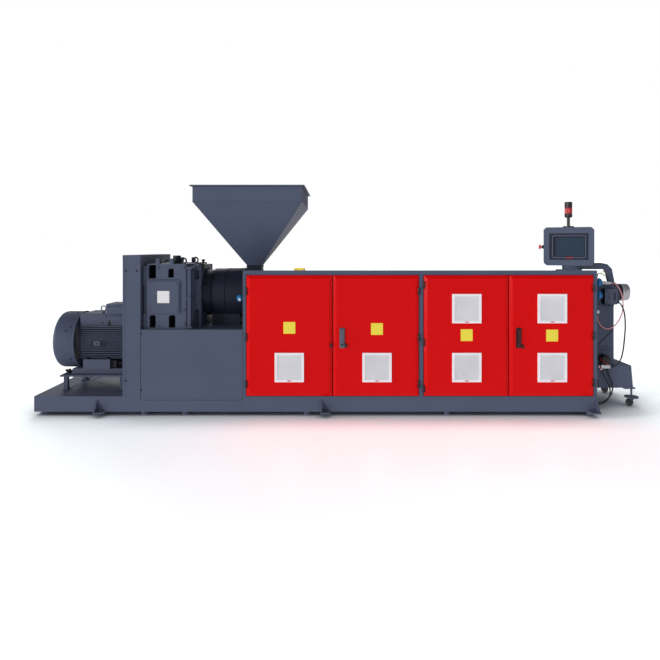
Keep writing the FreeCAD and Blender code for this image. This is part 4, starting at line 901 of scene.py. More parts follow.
class PELLET_OT_motor(bpy.types.Operator):
    """Adds the motor's intake grille, lip, screws, boss, painted shadow in the fin gaps and behind the
    foot, eyebolt, lid and bolts.
    """
    bl_idname = "pellet.motor"
    bl_label = "Motor"

    def execute(self, context):
        sizes = context.scene.pellet_pieces
        cowl_low, cowl_high = corner("motor_fan_cowl")
        centre = (cowl_low + cowl_high) / 2
        end = (cowl_low[0], centre[1], centre[2])
        disc = lathe([(0.0005, 0.0), (0.0006, 0.186), (-0.001, 0.186), (-0.0012, 0.0)], end, "x", 48)
        piece("cowl_intake", disc, "Deep shade")
        rings = [torus((end[0] - 0.001, end[1], end[2]), radius, 0.0022, "x", 48, 8)
                 for radius in np.arange(0.036, 0.190, sizes.ring_pitch)]
        bars = []
        for angle in np.linspace(0.0, math.pi, 4, endpoint=False):
            bar = span((end[0] - 0.003, end[1] - 0.188, end[2] - 0.004),
                       (end[0], end[1] + 0.188, end[2] + 0.004), 0.001, 0.0008, "x")
            bars.append(turned_about(bar, end, "x", angle))
        hub = lathe([(0.0, 0.034), (-0.004, 0.034), (-0.007, 0.024), (-0.0075, 0.0)], end, "x", 32)
        piece("cowl_grille", joined(*rings, *bars, hub), "Slate casting")
        radius = (cowl_high[2] - cowl_low[2]) / 2
        lip = [(-0.016, radius), (-0.014, radius + 0.0025), (-0.002, radius + 0.0025), (0.0, radius),
               (0.0, radius - 0.006), (-0.016, radius - 0.006)]
        rim = lathe(lip + lip[:1], (cowl_high[0], centre[1], centre[2]), "x", 64)
        piece("cowl_lip", (rim[0], rim[1][:-2]), "Slate casting")
        screws = []
        for angle in (0.55, 0.42, -0.62, -1.3, 1.3, 2.1, -2.1, 2.8, -2.8):
            place = (centre[0] + (0.02 if angle in (0.42,) else 0.055), 0.0, 0.0)
            screw = stud((0, 0, radius - 0.001), 0.007, 0.004, 0.004, 0.006, around=10)
            turned = turned_about(screw, (0, 0, 0), "x", math.pi / 2 - angle)
            screws.append((turned[0] + np.array([place[0], centre[1], centre[2]]), turned[1]))
        piece("cowl_screws", screws, "Deep shade")

        body_low, body_high = corner("motor_body")
        shaft_z = centre[2]
        ring_end = lathe([(0.0, 0.236), (0.012, 0.236), (0.016, 0.240), (0.022, 0.240), (0.022, 0.10),
                          (0.0, 0.10)], (body_high[0] - 0.024, 0, shaft_z), "x", 64)
        piece("motor_end_shield", (ring_end[0], ring_end[1]), "Slate casting")
        side_y = -0.2442
        plate_x, plate_z = x_at(458), 0.586
        plate = slab((plate_x, side_y - 0.002, plate_z), (0.042, 0.062, 0.008), 0.019, 0.0015, "y")
        piece("motor_boss", plate, "Slate casting")
        dot = stud((plate_x, side_y - 0.006, plate_z), 0.0065, 0.003, 0.004, 0.004, "-y")
        marks_and_shade = [dot]
        for row in (-0.017, 0.0, 0.017):
            for x, length in ((plate_x - 0.052, 0.018), (plate_x + 0.042, 0.030)):
                marks_and_shade.append(span((x, side_y - 0.0015, plate_z + row - 0.005),
                                  (x + length, side_y + 0.002, plate_z + row + 0.005), 0.002, 0.0005,
                                  "y"))
        # Painted shadow: dark strips between the fins next to the cowl stand in for the shade in the
        # fin gaps.
        fin_pitch = 0.0175
        for row in np.arange(-7.5, 8.0):
            z = centre[2] + row * fin_pitch
            marks_and_shade.append(span((x_at(259), side_y - 0.0006, z - 0.005),
                              (x_at(302), side_y + 0.008, z + 0.005), 0.002, 0.0005, "y"))
        # Painted shade: a dark block behind the right end of the motor's foot stands in for the shade
        # there.
        marks_and_shade.append(span(at(566, -200, 363), at(614, -150, 428), 0.002, 0.001, "y"))
        piece("motor_fin_ends", marks_and_shade, "Deep shade")

        eye_x, eye_y = x_at(457), -0.100
        shoulder_top = centre[2] + 0.248
        eye = [
            torus((eye_x, eye_y, shoulder_top + 0.042), 0.022, 0.0055, "y", 32, 12),
            lathe([(0, 0.017), (0.004, 0.017), (0.007, 0.010), (0.020, 0.009)],
                  (eye_x, eye_y, shoulder_top), "z", 20),
        ]
        piece("motor_eyebolt", eye, "Slate casting")

        box_low, box_high = corner("motor_terminal_box")
        lid_z = box_high[2] - 0.022
        seam = span((box_low[0] - 0.0006, box_low[1] - 0.0006, lid_z - 0.002),
                    (box_high[0] + 0.0006, box_high[1] + 0.0006, lid_z + 0.001), 0.004, 0.0003, "z")
        lid = span((box_low[0] - 0.004, box_low[1] - 0.004, lid_z),
                   (box_high[0] + 0.004, box_high[1] + 0.004, lid_z + 0.0225), 0.010, 0.005, "z")
        piece("terminal_seam", seam, "Deep shade")
        piece("terminal_lid", lid, "Slate casting")
        head = stud((0, 0, 0), 0.007, 0.004, 0.005, 0.005)
        corners = [(x, y, lid_z + 0.022) for x in (box_low[0] + 0.014, box_high[0] - 0.014)
                   for y in (box_low[1] + 0.014, box_high[1] - 0.014)]
        piece("terminal_screws", copies(head, corners), "Zinc")
        base_seam = span((box_low[0] - 0.003, box_low[1] - 0.003, box_low[2]),
                         (box_high[0] + 0.003, box_high[1] + 0.003, box_low[2] + 0.010), 0.006, 0.002,
                         "z")
        piece("terminal_flange", base_seam, "Slate casting")
        front = -0.1652
        wedge = np.array([(-0.017, -0.030), (0.017, -0.030), (0.010, 0.004), (0.0, 0.026),
                          (-0.008, 0.004)])
        cut = ring_surface(stacked([wedge, wedge], [0.0, 0.0012], (x_at(535), front, 0.762), "-y"))
        piece("shoulder_notch", cut, "Deep shade")
        holes = [stud((x_at(x), front, z), 0.006, 0.002, 0.004, 0.003, "-y")
                 for x, z in ((478, 0.757), (505, 0.820))]
        piece("shoulder_plugs", holes, "Deep shade")
        foot_top = body_low[2] + 0.085
        bolts = copies(bolt_head((0, 0, 0), 0.016, 0.014, "z"),
                       [(x_at(x), side * 0.205, foot_top) for x in (358, 542) for side in (-1, 1)])
        piece("motor_foot_bolts", bolts, "Deep shade", sharp=25.0)
        return {"FINISHED"}


class PELLET_OT_gearbox(bpy.types.Operator):
    """Adds painted shade in the gearbox's pockets, round its covers and between the bearing ribs, cover
    screws, bare plate, bolts, plugs and pipe work.
    """
    bl_idname = "pellet.gearbox"
    bl_label = "Gearbox"

    def execute(self, context):
        high = corner("gearbox_housing")[1]
        gear_left = x_at(947)
        face = 0.385
        base = corner("pedestal")[1][2]
        pockets = []
        places = (
            (0.020, 0.054, base + 0.010, base + 0.117), (0.186, 0.057, base + 0.010, base + 0.117),
            (0.012, 0.065, base + 0.432, base + 0.549), (0.181, 0.048, base + 0.439, base + 0.517),
        )
        for x, width, sill, head in places:
            left = gear_left + x + 0.001
            right = gear_left + x + width - 0.001
            pockets += mirrored((left, face - 0.149, sill + 0.001), (right, face - 0.146, head - 0.001),
                                0.012, 0.0005, "y")
            for wall in (left, right - 0.002):
                pockets += mirrored((wall, face - 0.147, sill + 0.002),
                                    (wall + 0.002, face - 0.020, head - 0.016), 0.0, 0.0005, "y")
        piece("pocket_shades", pockets, "Deep shade")

        cover_low, cover_high = corner("gearbox_covers")
        middle = (cover_low + cover_high) / 2
        details = []
        for side, way in ((-1, "-y"), (1, "y")):
            y = side * cover_high[1]
            for dx in (-0.113, 0.113):
                for dz in (-0.114, 0.114):
                    details.append(stud((middle[0] + dx, y, middle[2] + dz), 0.008, 0.004, 0.005, 0.006,
                                        way))
        piece("cover_screws", details, "Slate casting")
        tall = cover_high[2] - cover_low[2]
        wide = cover_high[0] - cover_low[0]
        # Painted shadow: thin dark rings round the raised covers stand in for their shadow on the
        # housing's face.
        dark_lines = [hoop((middle[0], side * (face + 0.0006), middle[2]), (tall + 0.006, wide + 0.006),
                      (tall - 0.002, wide - 0.002), 0.016, 0.0012, "y", 0.0003) for side in (-1, 1)]
        piece("cover_seams", dark_lines, "Deep shade")
        plate = slab((x_at(1092), cover_low[1] - 0.0006, 1.0095), (0.103, 0.103, 0.0016), 0.003, 0.0004,
                     "y")
        piece("cover_plate", plate, "Plate white")

        column = x_at(930)
        bolts = [bolt_head((column, side * 0.380, z), 0.012, 0.010, way)
                 for side, way in ((-1, "-y"), (1, "y")) for z in (0.790, 0.850, 1.130, 1.240)]
        for side, way in ((-1, "-y"), (1, "y")):
            for x, z in ((1043, 1262), (1043, 760), (1262, 1262), (1262, 900), (1262, 780)):
                place = at(x, 0, z)
                bolts.append(bolt_head((place[0], side * face, place[2]), 0.011, 0.008, way))
        piece("gearbox_bolts", bolts, "Slate casting", sharp=25.0)

        right = x_at(1284)
        ribs = []
        for y in (0.372, 0.300, 0.244):
            ribs += mirrored((right, y - 0.016, base + 0.006), (right + 0.034, y, high[2] - 0.075),
                             0.002, 0.002, "x")
        levels = (
            (base + 0.002, base + 0.020, 0.046), (high[2] - 0.092, high[2] - 0.070, 0.046),
            (base + 0.252, base + 0.268, 0.040),
        )
        for sill, head, reach in levels:
            ribs += mirrored((right, 0.236, sill), (right + reach, 0.384, head), 0.002, 0.002)
        piece("bearing_ribs", ribs, "Slate casting")
        backs = []
        for sill, head in ((base + 0.022, base + 0.250), (base + 0.270, high[2] - 0.094)):
            backs += mirrored((right, 0.246, sill), (right + 0.002, 0.370, head), 0.004, 0.0005, "x")
        piece("bearing_shades", backs, "Deep shade")
        end = x_at(1372)
        ring = []
        for angle in np.linspace(0.0, 2 * math.pi, 12, endpoint=False) + 0.26:
            y = 0.222 * math.cos(angle)
            z = AXIS_LEVEL * MM + 0.222 * math.sin(angle)
            if abs(y) < 0.222 and z < 1.262:
                ring.append(bolt_head((end, y, z), 0.012, 0.010, "x"))
        piece("bearing_bolts", ring, "Lantern paint", sharp=25.0)

        top = 1290 * MM
        fill = [
            span((x_at(1178), -0.232, top), (x_at(1196), -0.168, top + 0.012), 0.003, 0.001, "z"),
            lathe([(0, 0.020), (0.010, 0.020), (0.012, 0.016), (0.024, 0.016), (0.027, 0.012)],
                  (x_at(1114), -0.120, top), "z", 20),
            lathe([(0, 0.011), (0.030, 0.011), (0.034, 0.015), (0.046, 0.015), (0.050, 0.002)],
                  (x_at(1352), -0.060, 1278 * MM), "z", 16),
        ]
        cap = x_at(1151)
        fins = [(0.000, 0.0345), (0.006, 0.0345), (0.0065, 0.031), (0.012, 0.031), (0.0125, 0.0345),
                (0.018, 0.0345), (0.0185, 0.031), (0.024, 0.031), (0.0245, 0.0345), (0.030, 0.0345)]
        fill.append(lathe(fins, (cap, -0.200, top + 0.036), "z", 28))
        block = x_at(1340)
        fill.append(span((block, -0.196, 1.236), (block + 0.055, -0.128, 1.290), 0.012, 0.004, "y"))
        piece("gearbox_top_fittings", fill, "Black plastic")
        way = [at(1110, -150, 1302), at(1080, -150, 1322), at(1046, -160, 1318), at(1030, -200, 1312),
               at(1026, -240, 1300)]
        tube("oil_pipe", way, 0.007, "Black plastic")
        caps = [slab((x_at(x), side * 0.365, high[2]), (0.030, 0.042, 0.004), 0.006, 0.001, "z")
                for x in (1037, 1154) for side in (-1, 1)]
        piece("lug_caps", caps, "Slate casting")
        return {"FINISHED"}


class PELLET_OT_extruder(bpy.types.Operator):
    """Adds the lantern's bolts, seams and water fitting, the throat's collar and the hopper's welds."""
    bl_idname = "pellet.extruder"
    bl_label = "Lantern and hopper"

    def execute(self, context):
        high = corner("lantern_housing")[1]
        axis = AXIS_LEVEL * MM
        flange = x_at(1698)
        bolts = []
        for angle in np.linspace(0.0, 2 * math.pi, 16, endpoint=False) + 0.12:
            bolts.append(bolt_head((flange + 0.0005, 0.206 * math.cos(angle),
                                    axis + 0.206 * math.sin(angle)), 0.011, 0.012, "-x"))
        piece("flange_bolts", bolts, "Black plastic", sharp=25.0)
        bosses = []
        for angle in np.linspace(0.0, 2 * math.pi, 8, endpoint=False) + math.pi / 8:
            stud = bolt_head((high[0] - 0.0005, 0.150 * math.cos(angle),
                              axis + 0.150 * math.sin(angle)), 0.014, 0.012, "x")
            bosses.append(stud)
        piece("flange_studs", bosses, "Lantern paint", sharp=25.0)
        strap = []
        for x, ring in ((1452, 0.221), (1575, 0.224)):
            strap.append(torus((x_at(x), 0.0, axis), ring - 0.002, 0.0018, "x", 64, 8))
        piece("lantern_seams", strap, "Deep shade")
        fitting_x, fitting_z = at(1700, 0, 985)[[0, 2]]
        dome = [(0.0, 0.020), (0.006, 0.020), (0.007, 0.030), (0.028, 0.034), (0.048, 0.030),
                (0.060, 0.018), (0.064, 0.0)]
        piece("water_fitting", lathe(dome, (fitting_x + 0.018, -0.196, fitting_z), "-y", 28),
              "Fitting blue")
        nozzle = lathe([(0.0, 0.012), (0.004, 0.013), (0.016, 0.013), (0.020, 0.010)],
                       (fitting_x + 0.020, -0.252, fitting_z - 0.010), "-y", 20)
        piece("water_fitting_cap", nozzle, "Plate white")

        shell_low, shell_high = corner("hopper_shell")
        centre = (shell_low + shell_high) / 2
        throat_top = 1270 * MM
        collar = self.square(centre[0], (0.0680, 0.0775), (0.0015, 0.0020), (0.0695, 0.078),
                             (throat_top - 0.016, throat_top - 0.001), 0.001, 0.0008)
        piece("throat_collar", collar, "Lantern paint")
        half = 0.462
        cone_top = 1818 * MM
        bead = self.square(centre[0], (half, half), (0.003, 0.003), (half, half),
                           (cone_top - 0.003, cone_top + 0.003), 0.0, 0.002)
        piece("hopper_welds", bead, "Slate paint")
        rim = shell_high[0] - centre[0]
        top = shell_high[2]
        lips = self.square(centre[0], (rim, rim), (0.002, 0.002), (rim, rim), (top - 0.010, top),
                           0.0005, 0.0008)
        piece("hopper_lips", lips, "Slate paint")
        return {"FINISHED"}

    def square(self, middle, halves, walls, reach, levels, radius, bevel):
        """Four bars round an opening: half distances, thicknesses and lengths along x and along y."""
        bars = mirrored((middle - reach[0], halves[1] - walls[1], levels[0]),
                        (middle + reach[0], halves[1] + walls[1], levels[1]), radius, bevel, "x")
        for side in (-1, 1):
            x = middle + side * halves[0]
            bars.append(span((x - walls[0], -reach[1], levels[0]), (x + walls[0], reach[1], levels[1]),
                             radius, bevel, "y"))
        return bars


class PELLET_OT_cabinet(bpy.types.Operator):
    """Adds the cabinet's screws and plugs, its rear louvres and locks, and the sensor's parts."""
    bl_idname = "pellet.cabinet"
    bl_label = "Cabinet"

    def execute(self, context):
        low, high = corner("cabinet_frame")
        screw = stud((0, 0, 0), 0.006, 0.0025, 0.0035, 0.004, around=10)
        cover_top = corner("cabinet_panels")[1][2]
        rows = [(x, y, cover_top) for x in np.arange(low[0] + 0.20, high[0] - 0.12, 0.30)
                for y in (-0.372, 0.372)]
        piece("cover_screws_top", copies(screw, rows), "Zinc")
        back = corner("cabinet_panels")[1][1]
        slats = []
        locks = []
        joints = []
        bays = ((low[0] + 0.060, low[0] + 1.470), (low[0] + 1.570, high[0] - 0.060))
        for left, right in bays:
            middle = (left + right) / 2
            joints.append(span((middle - 0.002, back, 0.200), (middle + 0.002, back + 0.0006, 1.170),
                               0.0, 0.0002, "y"))
            for start in (left + 0.16, middle + 0.16):
                for level in np.arange(0.330, 0.560, context.scene.pellet_pieces.louvre_pitch):
                    profile = np.array([(0.0, 0.0), (0.0, 0.018), (0.009, 0.004), (0.009, 0.0)])
                    slat = ring_surface(stacked([profile, profile], [0.0, 0.36], (start, back, level),
                                                "x"))
                    slats.append(slat)
            for x in (left + 0.05, middle - 0.05, middle + 0.05, right - 0.05):
                for z in (0.26, 0.68, 1.11):
                    locks.append(lathe([(0, 0.012), (0.003, 0.012), (0.005, 0.008), (0.007, 0.008),
                                        (0.008, 0.005)], (x, back, z), "y", 16))
        piece("rear_louvres", slats, "Slate paint", sharp=25.0)
        piece("rear_locks", locks, "Zinc")
        piece("rear_joints", joints, "Deep shade")
        sensor_low, sensor_high = corner("top_sensor")
        patch = span((sensor_low[0] + 0.004, sensor_low[1] - 0.001, sensor_low[2] + 0.006),
                     (sensor_high[0] - 0.006, sensor_low[1] + 0.001, sensor_low[2] + 0.022), 0.003,
                     0.0004, "y")
        piece("sensor_patch", patch, "Plate yellow")
        feet = [span((x - 0.010, sensor_low[1] - 0.006, sensor_low[2]),
                     (x + 0.010, sensor_low[1], sensor_low[2] + 0.004), 0.002, 0.0006, "z")
                for x in (sensor_low[0] + 0.016, sensor_high[0] - 0.016)]
        piece("sensor_feet", feet, "Zinc")
        plugs = []
        for x in (low[0] + 0.040, high[0] - 0.040):
            for z in (0.196, 1.196):
                plugs.append(stud((x, low[1], z), 0.007, 0.002, 0.004, 0.003, "-y"))
        piece("post_plugs", plugs, "Deep shade")
        return {"FINISHED"}


class PELLET_OT_doors(bpy.types.Operator):
    """Adds each door's bare plate, hinge sleeves, inner stiffeners, seal and fan guards, and the keys
    on doors 1, 2 and 4.
    """
    bl_idname = "pellet.doors"
    bl_label = "Doors"

    def execute(self, context):
        heights = (0.752, 0.742, 0.690, 0.687)
        sleeve = lathe([(0.0, 0.0088), (0.001, 0.0098), (0.0262, 0.0098), (0.0272, 0.0088)], (0, 0, 0),
                       "z", 20)
        for number, height in enumerate(heights, 1):
            body = f"door_{number}"
            low, high = corner(body)
            hinge = joint_place(body)
            at_left = hinge[0] < (low[0] + high[0]) / 2
            face = low[1] + 0.002
            grille_low, grille_high = corner(f"grilles_{number}")
            middle = (grille_low[0] + grille_high[0]) / 2
            plate = slab((middle, face - 0.0007, height), (0.100, 0.101, 0.0014), 0.005, 0.0004, "y")
            piece(f"plate_{number}", plate, "Plate yellow", body)
            place = [(hinge[0], hinge[1], z + 0.0012) for z in self.hinge_levels(number)]
            piece(f"hinge_sleeves_{number}", copies(sleeve, place), "Black plastic", body)
            inner = face + 0.0035
            rim = high[1] - 0.0025
            left = hinge[0] if at_left else hinge[0] - (high[0] - low[0] - 0.008)
            right = left + (high[0] - low[0] - 0.008)
            stays = []
            for x in (left + 0.110, right - 0.110):
                stays.append(span((x - 0.016, inner, 0.215), (x + 0.016, rim, 1.140), 0.0, 0.002, "z"))
            piece(f"door_stays_{number}", stays, "Door red", body)
            seal_centre = ((left + right) / 2, rim + 0.0005, 0.678)
            size = (1.000, right - left - 0.010)
            seal = hoop(seal_centre, size, (size[0] - 0.012, size[1] - 0.012), 0.004, 0.003, "y",
                        0.0005)
            piece(f"door_seal_{number}", seal, "Rubber", body)
            guards = []
            back = grille_high[1]
            for z in (0.410,) if number < 3 else (0.410, 0.916):
                guards.append(hoop((middle, back + 0.001, z), (0.160, 0.160), (0.136, 0.136), 0.012,
                                   0.002, "y", 0.0004))
                for radius in (0.020, 0.034, 0.048, 0.062):
                    guards.append(torus((middle, back + 0.003, z), radius, 0.0014, "y", 36, 6))
                guards.append(lathe([(0.0, 0.013), (0.004, 0.013), (0.005, 0.010)], (middle, back, z),
                                    "y", 24))
                for angle in (math.pi / 4, 3 * math.pi / 4):
                    bar = span((middle - 0.092, back + 0.001, z - 0.002),
                               (middle + 0.092, back + 0.003, z + 0.002), 0.0, 0.0005, "y")
                    guards.append(turned_about(bar, (middle, back, z), "y", angle))
            piece(f"fan_guards_{number}", guards, "Black plastic", body)
        self.keys()
        return {"FINISHED"}

    def hinge_levels(self, number):
        """Mid heights of a door's three hinges."""
        bottom = 0.174
        rises = {
            1: (0.889, 0.498, 0.098), 2: (0.889, 0.494, 0.098),
            3: (0.941, 0.452, 0.057), 4: (0.916, 0.510, 0.111),
        }
        return [bottom + rise for rise in rises[number]]

    def keys(self):
        """A round lock with its key beside handle 2 and on door 1's right rim."""
        for body, x, z in (("door_2", 2652, 612), ("door_1", 2524, 612), ("door_4", 4146, 604)):
            face = corner(body)[0][1] + 0.002
            if body == "door_1":
                face += 0.008
            centre = (x_at(x), face, z * MM)
            parts = [
                lathe([(0.0, 0.0095), (0.002, 0.0095), (0.004, 0.007), (0.005, 0.007)], centre, "-y",
                      24),
                slab((centre[0], face - 0.010, centre[2]), (0.010, 0.003, 0.012), 0.001, 0.0005, "y"),
                slab((centre[0], face - 0.016, centre[2] - 0.011), (0.030, 0.018, 0.0035), 0.007,
                     0.0008, "y"),
            ]
            finish = "Handle dark" if body == "door_4" else "Black plastic"
            piece(f"key_{body}", parts, finish, body)


class PELLET_OT_grilles(bpy.types.Operator):
    """Adds the filter mesh, the sloped inner lip and the bare tab of the six door grilles."""
    bl_idname = "pellet.grilles"
    bl_label = "Grilles"

    def execute(self, context):
        pitch = context.scene.pellet_pieces.mesh_pitch
        for number in range(1, 5):
            body = f"door_{number}"
            low, high = corner(f"grilles_{number}")
            middle = (low[0] + high[0]) / 2
            half = (high[0] - low[0]) / 2
            front = low[1]
            inside = half - 0.020
            meshes = []
            lips = []
            tabs = []
            backs = []
            count = 1 if number < 3 else 2
            for z in np.linspace(low[2] + half, high[2] - half, count):
                meshes.append(grid_of((middle - inside, z - inside), (middle + inside, z + inside),
                                      pitch, 0.0022, front + 0.0030))
                backs.append(span((middle - inside, front + 0.0046, z - inside),
                                  (middle + inside, front + 0.0052, z + inside), 0.0, 0.0002, "y"))
                lips.append(hoop((middle, front - 0.0002, z), (2 * inside + 0.014, 2 * inside + 0.014),
                                 (2 * inside - 0.001, 2 * inside - 0.001), 0.003, 0.0012, "y", 0.0004))
                lips.append(hoop((middle, front - 0.0004, z), (2 * half - 0.004, 2 * half - 0.004),
                                 (2 * half - 0.010, 2 * half - 0.010), 0.008, 0.0016, "y", 0.0006))
                tabs.append(slab((middle, front - 0.0012, z - half + 0.011), (0.008, 0.032, 0.0016),
                                 0.002, 0.0005, "y"))
            piece(f"filter_mesh_{number}", meshes, "Filter mesh", body, sharp=20.0)
            piece(f"filter_mat_{number}", backs, "Filter mat", body)
            piece(f"grille_lips_{number}", lips, "Grille white", body)
            piece(f"grille_tabs_{number}", tabs, "Button red", body)
        return {"FINISHED"}


class PELLET_OT_handles(bpy.types.Operator):
    """Adds the rims, locks, keyholes and finger plates of the two swing handles, and the knob of handle
    4.
    """
    bl_idname = "pellet.handles"
    bl_label = "Handles"

    def execute(self, context):
        for number, finish, knob in ((2, "Handle grey", 0.0), (4, "Black plastic", 0.011)):
            low, high = corner(f"handle_base_{number}")
            lever_low, lever_high = corner(f"handle_lever_{number}")
            middle = (low[0] + high[0]) / 2
            body = f"door_{number}"
            height = (low[2] + high[2]) / 2
            door_face = corner(body)[0][1] + 0.002
            rim = hoop((middle, door_face - 0.0012, height),
                       (high[2] - low[2] + 0.005, high[0] - low[0] + 0.005),
                       (high[2] - low[2] - 0.001, high[0] - low[0] - 0.001), 0.008, 0.0024, "y", 0.0008)
            piece(f"handle_rim_{number}", rim, finish, body)
            grip_y = lever_low[1] - 0.0007
            centre_z = (lever_low[2] + lever_high[2]) / 2
            grip = hoop((middle, grip_y + 0.0006, centre_z + 0.012), (0.096, 0.0175), (0.088, 0.0105),
                        0.005, 0.0014, "y", 0.0004)
            lock = lathe([(-0.0005, 0.0088), (0.0012, 0.0088), (0.0020, 0.0070)],
                         (middle, lever_low[1], lever_low[2] + 0.016), "-y", 24)
            slot_mark = slab((middle, lever_low[1] - 0.0022, lever_low[2] + 0.016),
                             (0.010, 0.0022, 0.001), 0.001, 0.0003, "y")
            handle_body = f"handle_{number}"
            piece(f"handle_grip_{number}", grip, finish, handle_body)
            piece(f"handle_lock_{number}", lock, "Deep shade", handle_body)
            piece(f"handle_keyhole_{number}", slot_mark, "Deep shade", handle_body)
            if knob:
                dome = lathe([(0.0, knob), (0.003, knob), (0.006, knob * 0.8), (0.008, knob * 0.4),
                              (0.0085, 0.0)], (middle, lever_low[1], lever_low[2] + 0.012), "-y", 28)
                piece(f"handle_knob_{number}", dome, "Handle dark", handle_body)
        return {"FINISHED"}


class PELLET_OT_panel_unit(bpy.types.Operator):
    """Adds the operator panel's bezel, glass, tab, seam and vents, and the lamp's ribs and rings."""
    bl_idname = "pellet.operator_unit"
    bl_label = "Operator panel"

    def execute(self, context):
        body = "operator_panel"
        pivot = joint_place(body)
        turn = math.radians(-19.0)
        middle = pivot[0]
        front = pivot[1] - 0.045
        roof = corner("operator_housing")[1][2]

        def turned_piece(name, shape, finish, sharp=35.0):
            """A piece drawn square to the view and turned with the panel."""
            piece(name, turned_about(shape, pivot, "z", turn), finish, body, sharp)

        screen_z = 1.440
        glass_y = front + 0.0030
        bezel = hoop((middle + 0.002, glass_y, screen_z), (0.186, 0.264), (0.180, 0.258), 0.009, 0.0016,
                     "y", 0.0004)
        turned_piece("screen_bezel", bezel, "Bezel grey")
        glass = slab((middle + 0.011, glass_y + 0.0001, 1.439), (0.158, 0.226, 0.0012), 0.004, 0.0004,
                     "y")
        turned_piece("screen_glass", glass, "Screen teal")
        tab = slab((middle + 0.007, front + 0.0022, 1.3460), (0.013, 0.058, 0.0016), 0.003, 0.0006, "y")
        turned_piece("screen_tab", tab, "Tab red")
        shade = hoop((middle, front + 0.0085, screen_z), (0.224, 0.308), (0.196, 0.276), 0.006, 0.002,
                     "y", 0.0004)
        turned_piece("recess_shade", shade, "Recess navy")
        lip = hoop((middle, front - 0.0003, screen_z), (0.232, 0.316), (0.226, 0.310), 0.008, 0.0012,
                   "y", 0.0004)
        turned_piece("recess_lip", lip, "Slate paint")
        seam_y = front + 0.060
        width = 0.4
        seam = hoop((middle, seam_y, 1.444), (0.3278, width + 0.0008), (0.300, width - 0.02), 0.022,
                    0.0022, "y", 0.0003, 1)
        turned_piece("housing_seam", seam, "Deep shade")
        screws = [stud((middle + x, front + 0.0002, z), 0.005, 0.002, 0.003, 0.003, "-y")
                  for x in (-0.186, 0.186) for z in (1.300, 1.588)]
        turned_piece("housing_screws", joined(*screws), "Slate casting")
        vents = [span((middle - 0.070, front + 0.0898, z), (middle + 0.070, front + 0.0906, z + 0.004),
                      0.0018, 0.0002, "y") for z in np.arange(1.350, 1.420, 0.010)]
        turned_piece("housing_vents", joined(*vents), "Deep shade")

        pole_x, pole_y = middle, pivot[1]
        lens_low, lens_high = corner("signal_lamp")
        angle = np.linspace(0.0, 2 * math.pi, 96, endpoint=False)
        circle = np.stack([np.cos(angle), np.sin(angle)], axis=1)
        lens = (lens_high[0] - lens_low[0]) / 2
        ribbed = lens + 0.0003 + 0.0008 * np.cos(24 * angle)
        rings = [circle * (lens - 0.001), circle * ribbed[:, None], circle * ribbed[:, None],
                 circle * (lens - 0.001)]
        height = lens_high[2] - lens_low[2]
        rows = stacked(rings, [0.001, 0.003, height - 0.003, height - 0.001],
                       (pole_x, pole_y, lens_low[2]), "z")
        piece("lamp_lens", ring_surface(rows), "Lamp red", body)
        collars = [lathe([(0.0, lens - 0.0005), (0.0015, lens + 0.0008), (0.0045, lens + 0.0008),
                          (0.006, lens - 0.0005)], (pole_x, pole_y, z), "z", 40)
                   for z in (lens_low[2] - 0.006, lens_high[2])]
        cap_top = corner("signal_pole")[1][2]
        cap = lathe([(0.0, lens + 0.0002), (0.004, lens), (0.008, lens - 0.005), (0.0095, 0.016),
                     (0.0098, 0.0)], (pole_x, pole_y, cap_top - 0.0098), "z", 40)
        grooves = [torus((pole_x, pole_y, z), lens, 0.0007, "z", 48, 6)
                   for z in np.arange(lens_high[2] + 0.010, lens_high[2] + 0.038, 0.0055)]
        piece("lamp_collars", joined(*collars, cap, *grooves), "Black plastic", body)
        foot = [span((pole_x + dx - 0.009, pole_y - 0.010, roof),
                     (pole_x + dx + 0.009, pole_y + 0.010, roof + 0.004), 0.004, 0.001, "z")
                for dx in (-0.040, 0.040)]
        heads = [stud((pole_x + dx, pole_y, roof + 0.004), 0.005, 0.003, 0.003, 0.004)
                 for dx in (-0.041, 0.041)]
        flange = lathe([(0.0, 0.0425), (0.0085, 0.0425), (0.0105, 0.040), (0.0108, 0.0130)],
                       (pole_x, pole_y, roof), "z", 48)
        piece("lamp_mount", joined(*foot, *heads, flange), "Black plastic", body)

        neck_low = corner("operator_neck")[0]
        bolts = [bolt_head((x_at(x), neck_low[1] + 0.008, neck_low[2] + 0.008), 0.006, 0.005, "z")
                 for x in (4484, 4642)]
        piece("neck_bolts", bolts, "Zinc", sharp=25.0)
        trunk = [
            span(at(4610, -318, 1196), at(4666, -262, 1245), 0.004, 0.001, "z"),
            span(at(4608, -320, 1239), at(4668, -260, 1247), 0.004, 0.001, "z"),
        ]
        piece("cable_trunk", trunk, "Recess navy")
        return {"FINISHED"}


